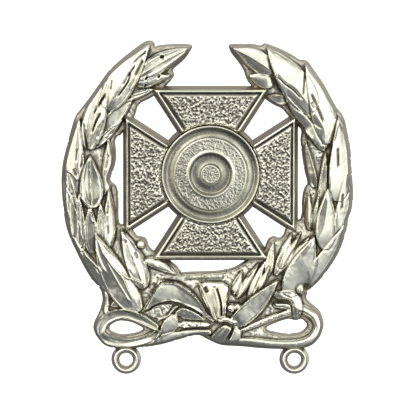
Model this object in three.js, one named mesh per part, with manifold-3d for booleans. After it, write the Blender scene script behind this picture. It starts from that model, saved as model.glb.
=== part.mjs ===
// A pin-back qualification badge: a four-armed cross with a target, in a laurel wreath tied with a ribbon.
//
// The badge is drawn lying on its back: x to the right, y up the badge and z towards the viewer, with z = 0
// at the flat back. The outer group then stands it up, so in the finished part +Z is up and the front looks
// along -Y. All sizes are millimetres.

import * as THREE from "three";
import { mergeVertices } from "three/addons/utils/BufferGeometryUtils.js";
import Module from "manifold-3d";

const wasm = await Module();
wasm.setup();

// ---- Driving dimensions ----

const GAP = 0.04; // between soldered neighbours
const RUNNING_GAP = 0.06; // between pieces that move on each other

const WALL_HEIGHT = 1.5; // back plane to the top of the side walls
const DRAFT = 0.42; // how far a side wall leans in over WALL_HEIGHT
const GROUND_HEIGHT = 0.95; // floor between the leaves

const CROSS_HALF = 8.0; // centre to the end of an arm
const ARM_END_HALF = 5.3; // half the width of an arm's end
const ARM_NECK = [2.62, 3.86]; // where an arm's side meets the hub: half width, distance from the centre
const RIM_WIDTH = 0.5; // of the border round an arm's sunk field, at the arm's end
const SIDE_RIM_WIDTH = 1.15; // and along the arm's sides, measured across the end
const NECK_RIM_WIDTH = 0.25;
const FIELD_DEPTH = 0.35; // recess of an arm's field below its rim
const FIELD_DRAFT = 0.1;
const HUB_RADIUS = 5.15;
const SEAT_HEIGHT = 0.9; // step on the cross that carries the target

const TARGET_RADIUS = 4.65;
const TARGET_HEIGHT = 2.2;

const EYELET_RADIUS = 1.45;
const EYELET_HOLE_RADIUS = 0.7;
const EYELET_CENTRES = { left: [-8.1, -17.9], right: [8.05, -17.9] };

const PIN_DEPTH = 1.5; // behind the back plane to the pin's centre line
const PIN_RADIUS = 0.3;
const HINGE_X = -6.3;
const CATCH_X = 6.1;
const POINT_X = 6.75;
const BASE_PLATE = 0.35; // thickness of the plates soldered to the back
const BASE_HALF_HEIGHT = 1.3;
const HINGE_BASE_HALF = 1.2;
const CATCH_BASE_HALF = 1.1;
const SOLDER = 0.02; // between a base plate and the back
const RIVET_RADIUS = 0.3;
const RIVET_HEAD_RADIUS = 0.5;
const RIVET_HEAD_HEIGHT = 0.16;
const EYE_RADIUS = 0.72;
const EYE_HALF_THICKNESS = 0.3;
const EAR_THICKNESS = 0.38;
const EAR_RADIUS = 0.8;
const HOUSING_RADIUS = 1.12;
const HOUSING_HALF_LENGTH = 0.5;
const ROTOR_RADIUS = 0.78;
const ROTOR_BORE = 0.44;
const COLLAR_RADIUS = 0.98;
const COLLAR_LENGTH = 0.26;
const SLOT_HALF = 0.38; // half the width of the mouth that the pin drops into
const FOOT_HALF = 0.62; // half the width of the housing's foot
const LEVER_ANGLE = 60; // degrees from straight behind the badge, pin free to open
const LEVER_REACH = 2.05;
const LEVER_WIDTH = 0.72;

// ---- Outlines of the side walls at the back plane ----

const LEFT_BRANCH = [
  [-1.6, 12.2], [-2.3, 12.42], [-4.9, 12.3], [-5.3, 12.05], [-5.3, 12.55], [-5.75, 12.75], [-6.4, 12.55],
  [-8.4, 11.05], [-9.65, 9.9], [-10.0, 9.45], [-11.3, 7.6], [-12.2, 6.4], [-12.95, 5.5], [-13.6, 3.2],
  [-14.15, 1.0], [-14.28, -0.6], [-14.2, -2.4], [-13.95, -4.7], [-13.5, -6.2], [-12.4, -8.5], [-11.5, -10.1],
  [-10.75, -10.9], [-9.6, -11.0], [-8.3, -11.5], [-7.4, -12.3], [-6.9, -13.0], [-6.4, -12.7], [-5.0, -10.35],
  [-3.0, -10.0], [-2.75, -9.45], [-3.2, -8.85], [-3.85, -8.35], [-4.6, -8.05], [-5.4, -7.4], [-5.9, -7.0],
  [-6.1, -6.2], [-6.6, -6.0], [-7.0, -6.0], [-7.5, -5.25], [-8.2, -4.85], [-8.8, -4.8], [-8.78, -1.9],
  [-9.0, -1.1], [-9.45, -0.78], [-9.6, -0.5], [-9.1, 0.8], [-8.95, 1.8], [-9.15, 3.3], [-8.45, 3.75],
  [-7.2, 5.4], [-6.9, 6.65], [-5.45, 7.3], [-4.0, 8.55], [-3.35, 9.45], [-3.65, 9.87], [-2.9, 10.5],
  [-2.3, 11.05],
];

const RIGHT_BRANCH = [
  [1.68, 12.2], [1.9, 11.55], [2.74, 10.5], [3.15, 9.85], [3.35, 9.2], [3.6, 8.65], [5.3, 7.0], [6.1, 6.5],
  [6.85, 6.2], [7.3, 5.6], [8.3, 4.6], [8.7, 4.1], [8.55, 3.3], [8.72, 1.8], [8.95, 0.3], [9.3, -0.95],
  [9.05, -1.2], [8.85, -1.7], [8.7, -2.8], [8.7, -4.3], [8.1, -4.5], [7.15, -5.2], [7.0, -5.85], [6.6, -6.2],
  [6.05, -5.95], [5.55, -6.2], [5.25, -6.85], [4.9, -8.05], [3.65, -8.15], [3.15, -8.45], [2.4, -8.95],
  [1.5, -9.2], [1.6, -10.6], [1.8, -12.4], [2.2, -14.1], [3.2, -14.6], [5.2, -13.9], [6.3, -12.4],
  [6.9, -11.3], [8.1, -11.4], [8.8, -11.55], [9.4, -11.3], [10.5, -10.3], [11.4, -9.1], [12.1, -8.0],
  [12.65, -6.8], [13.15, -5.1], [13.15, -4.5], [13.55, -3.4], [13.7, -2.0], [13.5, 0.4], [13.4, 2.4],
  [13.1, 3.9], [12.85, 5.1], [12.5, 5.8], [12.05, 6.25], [10.8, 8.6], [9.8, 10.0], [9.35, 10.66],
  [8.95, 10.9], [8.5, 10.85], [7.8, 11.35], [6.8, 11.87], [5.45, 12.4], [5.1, 12.45], [4.78, 12.2],
  [4.0, 12.4], [1.95, 12.4],
];

const BOW = [
  [-2.9, -9.5], [-2.0, -9.42], [0.6, -9.35], [1.5, -9.2], [1.6, -10.6], [1.8, -12.4], [2.1, -14.2],
  [3.1, -14.7], [5.3, -14.0], [6.45, -12.5], [6.75, -11.2], [8.3, -10.4], [9.15, -10.6], [9.35, -11.4],
  [9.15, -12.0], [9.8, -12.6], [10.55, -13.2], [10.95, -14.5], [10.6, -15.7], [9.8, -16.6], [8.5, -17.0],
  [5.0, -16.9], [3.0, -16.68], [1.0, -16.6], [-0.2, -16.05], [-1.2, -15.5], [-3.0, -16.0], [-5.0, -16.6],
  [-8.5, -17.0], [-10.2, -16.65], [-11.05, -15.6], [-11.3, -14.85], [-11.15, -14.2], [-10.62, -13.2],
  [-10.35, -12.2], [-10.45, -11.4], [-10.7, -11.0], [-9.6, -11.05], [-8.3, -11.55], [-7.4, -12.35],
  [-6.9, -13.05], [-6.4, -12.75], [-5.0, -10.4],
];

const BOW_HOLES = [
  [[-6.3, -14.95], [-7.6, -14.3], [-8.8, -14.15], [-9.7, -14.65], [-9.6, -15.15], [-8.6, -15.5],
    [-7.2, -15.35]],
  [[4.95, -14.95], [7.4, -13.95], [8.2, -14.2], [8.75, -13.95], [9.35, -14.6], [8.7, -15.3], [7.2, -15.45]],
];

// ---- Leaves: base, tip, half width, sideways bow of the midrib, height of the midrib ----

// A leaf's half width and height along its length, as shares of the largest.
const LEAF_STATIONS = [0, 0.2, 0.45, 0.7, 0.88, 1];
const LEAF_WIDTHS = [0.45, 0.85, 1, 0.72, 0.36, 0.04];
const LEAF_HEIGHTS = [0.72, 0.92, 1, 0.95, 0.85, 0.74];
const LEAF_CROWN = 0.55; // how far its edges lie below its midrib
const LEAF_FOOT = 0.12; // how far its sides spread down to the back

const LEFT_LEAVES = [
  [[-8.9, 7.4], [-5.75, 12.35], 1.3, 0.3, 2.35],
  [[-11.3, 4.0], [-9.75, 9.2], 1.0, 0.2, 2.3],
  [[-12.6, -0.2], [-12.5, 5.3], 0.9, 0.3, 2.35],
  [[-13.0, -4.4], [-13.7, 0.3], 0.55, 0.0, 2.1],
  [[-12.0, -8.3], [-13.4, -3.4], 0.55, 0.15, 2.1],
  [[-10.0, -10.8], [-12.9, -6.0], 0.6, 0.3, 2.2],
  [[-9.7, 6.0], [-9.2, 9.0], 0.4, 0.0, 1.8],
  [[-11.35, 2.0], [-11.85, 5.2], 0.35, 0.0, 1.8],
  [[-11.25, -3.3], [-11.45, 1.7], 1.1, 0.0, 2.5],
  [[-11.9, -7.4], [-12.4, -1.9], 0.7, 0.0, 2.2],
  [[-11.1, -8.5], [-11.2, -3.4], 0.6, 0.0, 2.0],
  [[-9.2, -11.2], [-11.2, -5.9], 0.7, 0.1, 2.2],
  [[-7.3, -11.3], [-10.6, -5.9], 1.1, 0.2, 2.5],
  [[-6.1, 9.85], [-1.95, 12.0], 0.85, 0.15, 2.0],
  [[-6.5, 9.0], [-3.75, 9.35], 0.6, 0.0, 1.7],
  [[-8.9, 7.1], [-5.3, 8.1], 0.45, 0.0, 1.9],
  [[-9.9, 4.5], [-7.35, 7.3], 0.75, 0.1, 1.8],
  [[-10.9, 2.7], [-8.35, 5.2], 0.42, 0.0, 1.8],
  [[-10.3, -0.6], [-9.75, 3.2], 0.55, -0.25, 2.0],
  [[-9.95, -6.0], [-9.5, -1.5], 0.7, -0.15, 2.1],
  [[-6.7, -10.3], [-8.4, -5.4], 0.75, -0.15, 2.1],
  [[-6.5, -8.2], [-3.3, -9.6], 0.5, 0.2, 1.8],
];

const RIGHT_LEAVES = [
  [[8.9, 7.2], [5.35, 12.1], 1.35, -0.1, 2.35],
  [[11.0, 3.9], [9.0, 10.45], 1.05, -0.3, 2.35],
  [[11.95, -1.4], [12.15, 5.4], 1.0, -0.3, 2.35],
  [[12.4, -5.2], [12.95, -0.1], 0.7, -0.15, 2.2],
  [[9.6, -10.8], [12.75, -5.0], 0.95, -0.25, 2.3],
  [[10.85, 2.4], [11.7, 4.6], 0.3, 0.0, 1.8],
  [[11.05, -6.0], [11.2, -1.4], 0.95, 0.0, 2.4],
  [[7.6, -11.0], [9.9, -6.0], 1.2, -0.2, 2.5],
  [[2.5, -13.9], [6.35, -10.3], 1.0, -0.2, 2.4],
  [[6.0, 9.7], [2.0, 12.05], 0.9, -0.15, 2.0],
  [[6.0, 8.6], [3.6, 9.4], 0.7, 0.0, 1.7],
  [[7.3, 7.0], [5.3, 7.4], 0.5, 0.1, 1.7],
  [[10.6, 3.2], [6.95, 7.7], 0.75, -0.1, 2.0],
  [[10.9, 2.2], [8.1, 5.3], 0.32, -0.1, 1.8],
  [[10.45, -2.4], [10.95, 2.0], 0.35, 0.0, 1.9],
  [[10.0, -1.3], [9.1, 3.1], 0.5, 0.25, 1.9],
  [[9.5, -5.4], [9.35, -1.7], 0.35, 0.05, 1.9],
  [[9.9, -5.5], [10.25, -2.0], 0.35, 0.0, 1.8],
  [[6.7, -9.4], [9.4, -6.1], 0.5, 0.0, 1.9],
  [[6.2, -9.7], [7.75, -5.7], 0.55, 0.0, 1.9],
  [[5.4, -9.8], [5.95, -6.5], 0.45, 0.0, 1.9],
  [[3.0, -11.9], [5.1, -8.3], 0.5, 0.0, 1.9],
  [[2.2, -11.6], [2.6, -9.5], 0.5, 0.0, 1.7],
];

// Berries: centre and height of the centre.
const BERRY_RADIUS = 0.45;
const LEFT_BERRIES = [[-6.62, -6.72, 1.25]];
const RIGHT_BERRIES = [[8.65, -11.0, 1.25]];
const BOW_BERRIES = [[1.45, -12.85, 1.5]];

// Folded ribbon as rounded bands: width, height above the back, and the points it runs through.
const RIBBON = [
  { width: 1.3, top: 2.2, path: [[-1.2, -14.6], [-4.4, -14.3], [-6.8, -13.55], [-9.0, -13.65], [-10.3, -14.6],
    [-9.9, -15.8], [-8.0, -16.2], [-5.0, -15.9], [-1.6, -14.9]] },
  { width: 1.3, top: 2.2, path: [[2.9, -15.2], [6.0, -16.2], [8.6, -16.2], [10.1, -15.2], [10.1, -13.9],
    [9.2, -13.1]] },
  { width: 0.7, top: 2.0, path: [[2.8, -14.9], [5.2, -14.4], [7.6, -13.4]] },
  { width: 1.5, top: 2.1, path: [[7.4, -11.3], [8.0, -12.4], [8.2, -13.6]] },
  { width: 2.0, top: 2.1, path: [[-9.3, -11.6], [-8.4, -12.4], [-7.2, -13.2]] },
  { width: 1.7, top: 2.6, path: [[-5.4, -11.6], [-3.4, -11.3], [-1.6, -12.2], [-0.2, -14.0]] },
  { width: 1.5, top: 2.0, path: [[-5.2, -12.9], [-4.4, -14.4], [-5.0, -15.6]] },
  { width: 1.6, top: 2.3, path: [[0.3, -10.0], [0.6, -12.0], [1.0, -14.2]] },
];

// The knot's two lobes: centre, half width, half height and how far they stand out.
const KNOT_LOBES = [[1.1, -15.1, 0.85, 1.25, 2.5], [2.35, -15.15, 0.8, 1.3, 2.4]];

// ---- Solids from three.js geometry ----

function solidOf(geometry) {
  const bare = geometry.clone();
  bare.deleteAttribute("normal");
  bare.deleteAttribute("uv");
  const merged = mergeVertices(bare, 1e-5);
  return new wasm.Manifold(new wasm.Mesh({
    numProp: 3,
    vertProperties: new Float32Array(merged.attributes.position.array),
    triVerts: new Uint32Array(merged.index.array),
  }));
}

function geometryOf(solid) {
  const mesh = solid.getMesh();
  const geometry = new THREE.BufferGeometry();
  geometry.setAttribute("position", new THREE.BufferAttribute(new Float32Array(mesh.vertProperties), 3));
  geometry.setIndex(new THREE.BufferAttribute(new Uint32Array(mesh.triVerts), 1));
  geometry.computeVertexNormals();
  return geometry;
}

function joined(solids) {
  return solids.reduce((whole, next) => whole.add(next));
}

// Rings of points, one above the other, skinned into a closed geometry. Every ring has the same number of
// points, anticlockwise seen from the last ring.
function skinned(rings, capFaces) {
  const count = rings[0].length;
  const positions = rings.flat(2);
  const faces = [];
  for (let level = 0; level + 1 < rings.length; level += 1) {
    for (let i = 0; i < count; i += 1) {
      const next = (i + 1) % count;
      const low = level * count;
      const high = low + count;
      faces.push(low + i, low + next, high + next, low + i, high + next, high + i);
    }
  }
  const last = (rings.length - 1) * count;
  for (const [a, b, c] of capFaces) {
    faces.push(c, b, a, last + a, last + b, last + c);
  }
  const geometry = new THREE.BufferGeometry();
  geometry.setAttribute("position", new THREE.Float32BufferAttribute(positions, 3));
  geometry.setIndex(faces);
  return geometry;
}

function anticlockwise(outline) {
  const points = outline.map(([x, y]) => new THREE.Vector2(x, y));
  return THREE.ShapeUtils.area(points) < 0 ? points.reverse() : points;
}

// Each corner moved out along its mitre, so that both of its edges move out by the distance.
function grown(points, distance) {
  return points.map((point, i) => {
    const before = points[(i + points.length - 1) % points.length];
    const after = points[(i + 1) % points.length];
    const incoming = point.clone().sub(before).normalize();
    const outgoing = after.clone().sub(point).normalize();
    const mitre = new THREE.Vector2(incoming.y + outgoing.y, -incoming.x - outgoing.x);
    const reach = Math.min(2 / mitre.length(), 1.8);
    return mitre.setLength(distance * reach).add(point);
  });
}

// A plate of one outline whose size changes with height. Levels are [height, how far the outline moves out].
function plate(outline, levels) {
  const points = anticlockwise(outline);
  const caps = THREE.ShapeUtils.triangulateShape(points, []);
  const rings = levels.map(([height, outset]) => grown(points, outset).map((p) => [p.x, p.y, height]));
  return solidOf(skinned(rings, caps));
}

function draftedPlate(outline, height) {
  return plate(outline, [[0, 0], [height, (-DRAFT * height) / WALL_HEIGHT]]);
}

// The space above an outline, inside its leaning walls.
function envelope(outline, extra = 0) {
  const inside = extra - DRAFT;
  return plate(outline, [[-extra, extra], [WALL_HEIGHT, inside], [4, inside - 0.1]]);
}

// A pointed leaf with a raised midrib: a loft of five-point sections along a bowed line.
function leaf([base, tip, halfWidth, bow, rise]) {
  const from = new THREE.Vector2(...base);
  const to = new THREE.Vector2(...tip);
  const along = to.clone().sub(from).normalize();
  const across = new THREE.Vector2(-along.y, along.x);
  const sections = LEAF_STATIONS.map((u, i) => {
    const middle = from.clone().lerp(to, u).addScaledVector(across, bow * 4 * u * (1 - u));
    const half = halfWidth * LEAF_WIDTHS[i];
    const top = rise * LEAF_HEIGHTS[i];
    const edge = top - LEAF_CROWN * LEAF_WIDTHS[i];
    const at = (side, height) => [middle.x + across.x * side, middle.y + across.y * side, height];
    const foot = half + LEAF_FOOT;
    return [at(foot, 0), at(half, edge), at(0, top), at(-half, edge), at(-foot, 0)];
  });
  return solidOf(skinned(sections, [[0, 1, 2], [0, 2, 4], [2, 3, 4]]));
}

function berry([x, y, height]) {
  const ball = new THREE.SphereGeometry(BERRY_RADIUS, 12, 8);
  ball.rotateX(Math.PI / 2);
  ball.translate(x, y, height);
  return solidOf(ball);
}

// A round post standing on the back plane, or behind it when the heights are negative.
function post(x, y, radius, low, high, sides = 32) {
  const cylinder = new THREE.CylinderGeometry(radius, radius, high - low, sides);
  cylinder.rotateX(Math.PI / 2);
  cylinder.translate(x, y, (low + high) / 2);
  return solidOf(cylinder);
}

function block(from, to) {
  const box = new THREE.BoxGeometry(to[0] - from[0], to[1] - from[1], to[2] - from[2]);
  box.translate((from[0] + to[0]) / 2, (from[1] + to[1]) / 2, (from[2] + to[2]) / 2);
  return solidOf(box);
}

// A body turned about the y axis. The profile's points are radius and distance along the axis.
function lathe(profile, sides) {
  const closed = [...profile, profile[0]].map(([r, along]) => new THREE.Vector2(r, along));
  return new THREE.LatheGeometry(closed, sides);
}

// The same about the z axis, standing on the back plane.
function turned(profile, sides = 48) {
  const geometry = lathe(profile, sides);
  geometry.rotateX(Math.PI / 2);
  return solidOf(geometry);
}

// The same about the pin's centre line, starting at x.
function turnedAlongPin(profile, x, sides = 32) {
  const geometry = lathe(profile, sides);
  geometry.rotateZ(-Math.PI / 2);
  geometry.translate(x, 0, -PIN_DEPTH);
  return solidOf(geometry);
}

// A ribbon fold: a low arched section swept along a curve on the badge.
function band({ width, top, path }) {
  const curve = new THREE.CatmullRomCurve3(path.map(([x, y]) => new THREE.Vector3(x, y, 0)));
  const steps = path.length * 2;
  const sections = Array.from({ length: steps + 1 }, (_, i) => {
    const middle = curve.getPointAt(i / steps);
    const along = curve.getTangentAt(i / steps);
    const at = (side, height) => [middle.x - along.y * side, middle.y + along.x * side, height];
    const half = width / 2;
    return [at(half, 0), at(half * 0.86, top * 0.7), at(half * 0.35, top), at(-half * 0.35, top),
      at(-half * 0.86, top * 0.7), at(-half, 0)];
  });
  return solidOf(skinned(sections, [[0, 1, 2], [0, 2, 3], [0, 3, 5], [3, 4, 5]]));
}

function knotLobe([x, y, halfWidth, halfHeight, top]) {
  const ball = new THREE.SphereGeometry(1, 16, 12);
  ball.rotateX(Math.PI / 2);
  ball.scale(halfWidth, halfHeight, top);
  ball.translate(x, y, 0);
  return solidOf(ball).subtract(block([x - 3, y - 3, -4], [x + 3, y + 3, 0]));
}

// ---- Front ----

function turnedOutline(outline, quarter) {
  const cos = Math.cos((quarter * Math.PI) / 2);
  const sin = Math.sin((quarter * Math.PI) / 2);
  return outline.map(([x, y]) => [x * cos - y * sin, x * sin + y * cos]);
}

function crossOutline() {
  const [neckHalf, neckReach] = ARM_NECK;
  const arm = [[neckHalf, neckReach], [ARM_END_HALF, CROSS_HALF], [-ARM_END_HALF, CROSS_HALF],
    [-neckHalf, neckReach]];
  return [0, 1, 2, 3].flatMap((quarter) => turnedOutline(arm, quarter));
}

function cross() {
  const body = plate(crossOutline(), [[0, DRAFT], [WALL_HEIGHT, 0]]);
  const hub = turned([[0, 0], [HUB_RADIUS, 0], [HUB_RADIUS - 0.25, SEAT_HEIGHT], [0, SEAT_HEIGHT]]);
  const seat = post(0, 0, TARGET_RADIUS + GAP, SEAT_HEIGHT, 4, 48);
  const endHalf = ARM_END_HALF - SIDE_RIM_WIDTH;
  const reach = CROSS_HALF - RIM_WIDTH;
  const neckHalf = ARM_NECK[0] - NECK_RIM_WIDTH;
  const field = [[-neckHalf, ARM_NECK[1]], [neckHalf, ARM_NECK[1]], [endHalf, reach], [-endHalf, reach]];
  const levels = [[WALL_HEIGHT - FIELD_DEPTH, 0], [WALL_HEIGHT + FIELD_DEPTH, FIELD_DRAFT]];
  const fields = [0, 1, 2, 3].map((quarter) => plate(turnedOutline(field, quarter), levels));
  return body.add(hub).subtract(joined([seat, ...fields]));
}

// What the cross takes out of the pieces soldered to it.
function crossCutter() {
  const walls = plate(crossOutline(), [[-1, DRAFT * 1.6 + GAP], [WALL_HEIGHT, GAP], [5, GAP]]);
  return walls.add(post(0, 0, HUB_RADIUS + GAP, -1, 5, 48));
}

function target() {
  const low = SEAT_HEIGHT + GAP;
  const top = TARGET_HEIGHT;
  return turned([
    [0, low], [TARGET_RADIUS - 0.02, low], [TARGET_RADIUS - 0.05, top - 0.45], [4.5, top - 0.3],
    [4.1, top - 0.1], [3.65, top - 0.2], [3.5, top - 0.45], [3.4, top - 0.35],
    [2.3, top - 0.35], [2.15, top - 0.22],
    [2.0, top - 0.4], [1.5, top - 0.15], [1.0, top - 0.3], [0.9, top - 0.2], [0, top - 0.15],
  ]);
}

function branch(outline, leaves, berries) {
  const ground = draftedPlate(outline, GROUND_HEIGHT);
  const growth = joined([...leaves.map(leaf), ...berries.map(berry)]).intersect(envelope(outline));
  return ground.add(growth).subtract(crossCutter());
}

function bow() {
  const ground = draftedPlate(BOW, GROUND_HEIGHT + 0.2);
  const folds = joined([...RIBBON.map(band), ...KNOT_LOBES.map(knotLobe), ...BOW_BERRIES.map(berry)]);
  const flare = [[-1, -DRAFT * 0.3], [WALL_HEIGHT, DRAFT * 0.5], [4, DRAFT]];
  const holes = BOW_HOLES.map((hole) => plate(hole, flare));
  const neighbours = [envelope(LEFT_BRANCH, GAP), envelope(RIGHT_BRANCH, GAP), crossCutter()];
  return ground.add(folds.intersect(envelope(BOW))).subtract(joined([...holes, ...neighbours]));
}

function eyelet([x, y]) {
  const ring = turned([
    [EYELET_HOLE_RADIUS, 0], [EYELET_RADIUS, 0], [EYELET_RADIUS - 0.12, 0.75], [1.15, 1.1], [0.98, 1.0],
    [EYELET_HOLE_RADIUS + 0.1, 0.75],
  ], 32).translate([x, y, 0]);
  return ring.subtract(envelope(BOW, GAP));
}

// ---- Pin and catch behind the cross ----

// The base plate of a fitting, on the cross's back.
function soldered(x, half) {
  return block([x - half, -BASE_HALF_HEIGHT, -BASE_PLATE], [x + half, BASE_HALF_HEIGHT, -SOLDER]);
}

// A cylinder on the hinge's axis, which runs up the badge.
function acrossPin(radius, low, high, sides = 32) {
  const cylinder = new THREE.CylinderGeometry(radius, radius, high - low, sides);
  cylinder.translate(HINGE_X, (low + high) / 2, -PIN_DEPTH);
  return solidOf(cylinder);
}

function pinJoint() {
  const inner = EYE_HALF_THICKNESS + RUNNING_GAP;
  const outer = inner + EAR_THICKNESS;
  const base = soldered(HINGE_X, HINGE_BASE_HALF);
  const ear = (low, high) => {
    const web = block([HINGE_X - EAR_RADIUS, low, -PIN_DEPTH], [HINGE_X + EAR_RADIUS, high, -BASE_PLATE / 2]);
    return acrossPin(EAR_RADIUS, low, high).add(web);
  };
  const bore = acrossPin(RIVET_RADIUS + SOLDER, -2 * outer, 2 * outer, 24);
  return joined([base, ear(inner, outer), ear(-outer, -inner)]).subtract(bore);
}

function hingeRivet() {
  const face = EYE_HALF_THICKNESS + RUNNING_GAP + EAR_THICKNESS + SOLDER;
  const top = face + RIVET_HEAD_HEIGHT;
  const shoulder = face + 0.4 * RIVET_HEAD_HEIGHT;
  const half = [[RIVET_RADIUS, face], [RIVET_HEAD_RADIUS, face], [RIVET_HEAD_RADIUS, shoulder],
    [0.7 * RIVET_HEAD_RADIUS, top], [0, top]];
  const otherHalf = half.map(([r, along]) => [r, -along]).reverse();
  const geometry = lathe([...otherHalf, ...half], 24);
  geometry.translate(HINGE_X, 0, -PIN_DEPTH);
  return solidOf(geometry);
}

function pinStem() {
  const eye = acrossPin(EYE_RADIUS, -EYE_HALF_THICKNESS, EYE_HALF_THICKNESS);
  const bore = acrossPin(RIVET_RADIUS + GAP, -2 * EYE_HALF_THICKNESS, 2 * EYE_HALF_THICKNESS, 24);
  const start = HINGE_X + EYE_RADIUS - 0.2;
  const length = POINT_X - start;
  const wire = turnedAlongPin([[0, 0], [PIN_RADIUS, 0], [PIN_RADIUS, length - 2.4], [0.2, length - 1.0],
    [0.05, length], [0, length]], start, 20);
  return eye.add(wire).subtract(bore);
}

function catchHousing() {
  const bore = ROTOR_RADIUS + RUNNING_GAP;
  const half = HOUSING_HALF_LENGTH;
  const tube = [[bore, 0], [HOUSING_RADIUS, 0], [HOUSING_RADIUS, 2 * half], [bore, 2 * half]];
  const footTop = -PIN_DEPTH + bore + 0.05;
  const foot = block([CATCH_X - half, -FOOT_HALF, footTop], [CATCH_X + half, FOOT_HALF, -BASE_PLATE / 2]);
  const body = joined([soldered(CATCH_X, CATCH_BASE_HALF), turnedAlongPin(tube, CATCH_X - half), foot]);
  return body.subtract(catchMouth());
}

// The slot through which the pin drops into the catch.
function catchMouth() {
  const from = [CATCH_X - 2, -SLOT_HALF, -PIN_DEPTH - 2];
  return block(from, [CATCH_X + 2, SLOT_HALF, -PIN_DEPTH]);
}

function catchRotor() {
  const collarAt = HOUSING_HALF_LENGTH + RUNNING_GAP;
  const end = collarAt + COLLAR_LENGTH;
  const barrel = turnedAlongPin([[ROTOR_BORE, 0], [COLLAR_RADIUS, 0], [COLLAR_RADIUS, COLLAR_LENGTH],
    [ROTOR_RADIUS, COLLAR_LENGTH], [ROTOR_RADIUS, end + collarAt], [COLLAR_RADIUS, end + collarAt],
    [COLLAR_RADIUS, 2 * end], [ROTOR_BORE, 2 * end]], CATCH_X - end);
  const lever = new THREE.BoxGeometry(COLLAR_LENGTH, LEVER_WIDTH, LEVER_REACH - ROTOR_RADIUS);
  lever.translate(0, 0, -(LEVER_REACH + ROTOR_RADIUS) / 2);
  lever.rotateX(THREE.MathUtils.degToRad(LEVER_ANGLE));
  lever.translate(CATCH_X + collarAt + COLLAR_LENGTH / 2, 0, -PIN_DEPTH);
  return barrel.subtract(catchMouth()).add(solidOf(lever));
}

// ---- The badge ----

const COLOURS = { relief: 0xc9c7b4, rim: 0xd6d4c3, plain: 0xbdbcae, steel: 0xb9bbbd };

function named(name, solid, colour, roughness) {
  const material = new THREE.MeshStandardMaterial({ color: colour, roughness, metalness: 1 });
  const mesh = new THREE.Mesh(geometryOf(solid), material);
  mesh.name = name;
  return mesh;
}

const group = new THREE.Group();
group.rotation.x = Math.PI / 2;
group.add(
  named("wreath_branch_left", branch(LEFT_BRANCH, LEFT_LEAVES, LEFT_BERRIES), COLOURS.relief, 0.35),
  named("wreath_branch_right", branch(RIGHT_BRANCH, RIGHT_LEAVES, RIGHT_BERRIES), COLOURS.relief, 0.35),
  named("ribbon_bow", bow(), COLOURS.relief, 0.35),
  named("cross", cross(), COLOURS.rim, 0.35),
  named("target_disc", target(), COLOURS.rim, 0.3),
  named("eyelet_left", eyelet(EYELET_CENTRES.left), COLOURS.plain, 0.4),
  named("eyelet_right", eyelet(EYELET_CENTRES.right), COLOURS.plain, 0.4),
  named("pin_joint", pinJoint(), COLOURS.plain, 0.4),
  named("hinge_rivet", hingeRivet(), COLOURS.plain, 0.35),
  named("pin_stem", pinStem(), COLOURS.steel, 0.3),
  named("catch_housing", catchHousing(), COLOURS.plain, 0.4),
  named("catch_rotor", catchRotor(), COLOURS.plain, 0.35),
);

export default group;
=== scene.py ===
"""A silvered badge: a cross and target in a laurel wreath tied with a ribbon, with a pin and catch behind.

The front is a struck relief. Each piece of it is drawn as a height above the flat back, in millimetres, with
x to the right and z up the badge, and then made into a closed mesh in metres, with its front towards -Y.
"""

import math

import bmesh
import bpy
import numpy as np
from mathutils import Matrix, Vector, geometry


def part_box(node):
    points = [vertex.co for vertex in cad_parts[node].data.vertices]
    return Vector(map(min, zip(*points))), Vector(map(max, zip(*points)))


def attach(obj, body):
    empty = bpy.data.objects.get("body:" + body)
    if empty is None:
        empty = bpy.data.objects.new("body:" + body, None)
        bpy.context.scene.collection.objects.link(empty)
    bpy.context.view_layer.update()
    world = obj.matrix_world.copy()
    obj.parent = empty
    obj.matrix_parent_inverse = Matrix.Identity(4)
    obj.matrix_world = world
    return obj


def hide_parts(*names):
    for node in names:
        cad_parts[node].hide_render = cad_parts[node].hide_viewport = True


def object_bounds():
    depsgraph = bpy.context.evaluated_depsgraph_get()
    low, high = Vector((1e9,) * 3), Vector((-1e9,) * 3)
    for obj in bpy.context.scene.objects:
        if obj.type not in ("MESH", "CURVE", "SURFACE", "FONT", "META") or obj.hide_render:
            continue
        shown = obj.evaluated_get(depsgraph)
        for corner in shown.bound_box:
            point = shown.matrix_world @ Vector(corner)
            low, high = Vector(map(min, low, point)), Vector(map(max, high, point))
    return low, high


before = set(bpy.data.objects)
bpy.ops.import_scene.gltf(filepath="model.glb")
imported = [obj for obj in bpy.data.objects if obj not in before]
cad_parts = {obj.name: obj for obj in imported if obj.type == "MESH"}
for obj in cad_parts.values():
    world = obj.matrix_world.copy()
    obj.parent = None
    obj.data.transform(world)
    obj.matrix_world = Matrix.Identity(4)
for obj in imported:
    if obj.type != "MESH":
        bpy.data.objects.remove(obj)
cad_low, cad_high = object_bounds()

MM = 0.001
CELL = 0.05  # spacing of the relief's grid
WALL = 1.5  # height of the side walls
DRAFT = 0.42  # how far they lean in over that height
GROUND = 0.95  # floor between the leaves
CROSS_HALF = 8.0
ARM_END = 5.3
ARM_NECK = (2.62, 3.86)
HUB = 5.15
SEAT = 0.9  # height of the flat that the target lies on
TARGET = 4.65
TARGET_BACK = SEAT + 0.04
EYELET = 1.45
EDGE_DROP = (0.25, 0.05)  # how far a leaf or a ribbon falls at its edge, and over what width
BACK_STEP = 4  # cells of the relief to one of the back
BACK_MARGIN = 0.3  # from the coarser grid of the back to the edge
SOLDER = 0.008  # between the pieces of the wreath
WREATH_BACK = 0.02  # the wreath's back lies this far in front of the cross's
BACK_ON_WALL = 0.45  # share of the walls' colour on the back
CREASE_ANGLE = 50

# ---- Outlines of the side walls at the back, the same as the CAD part's ----

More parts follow.
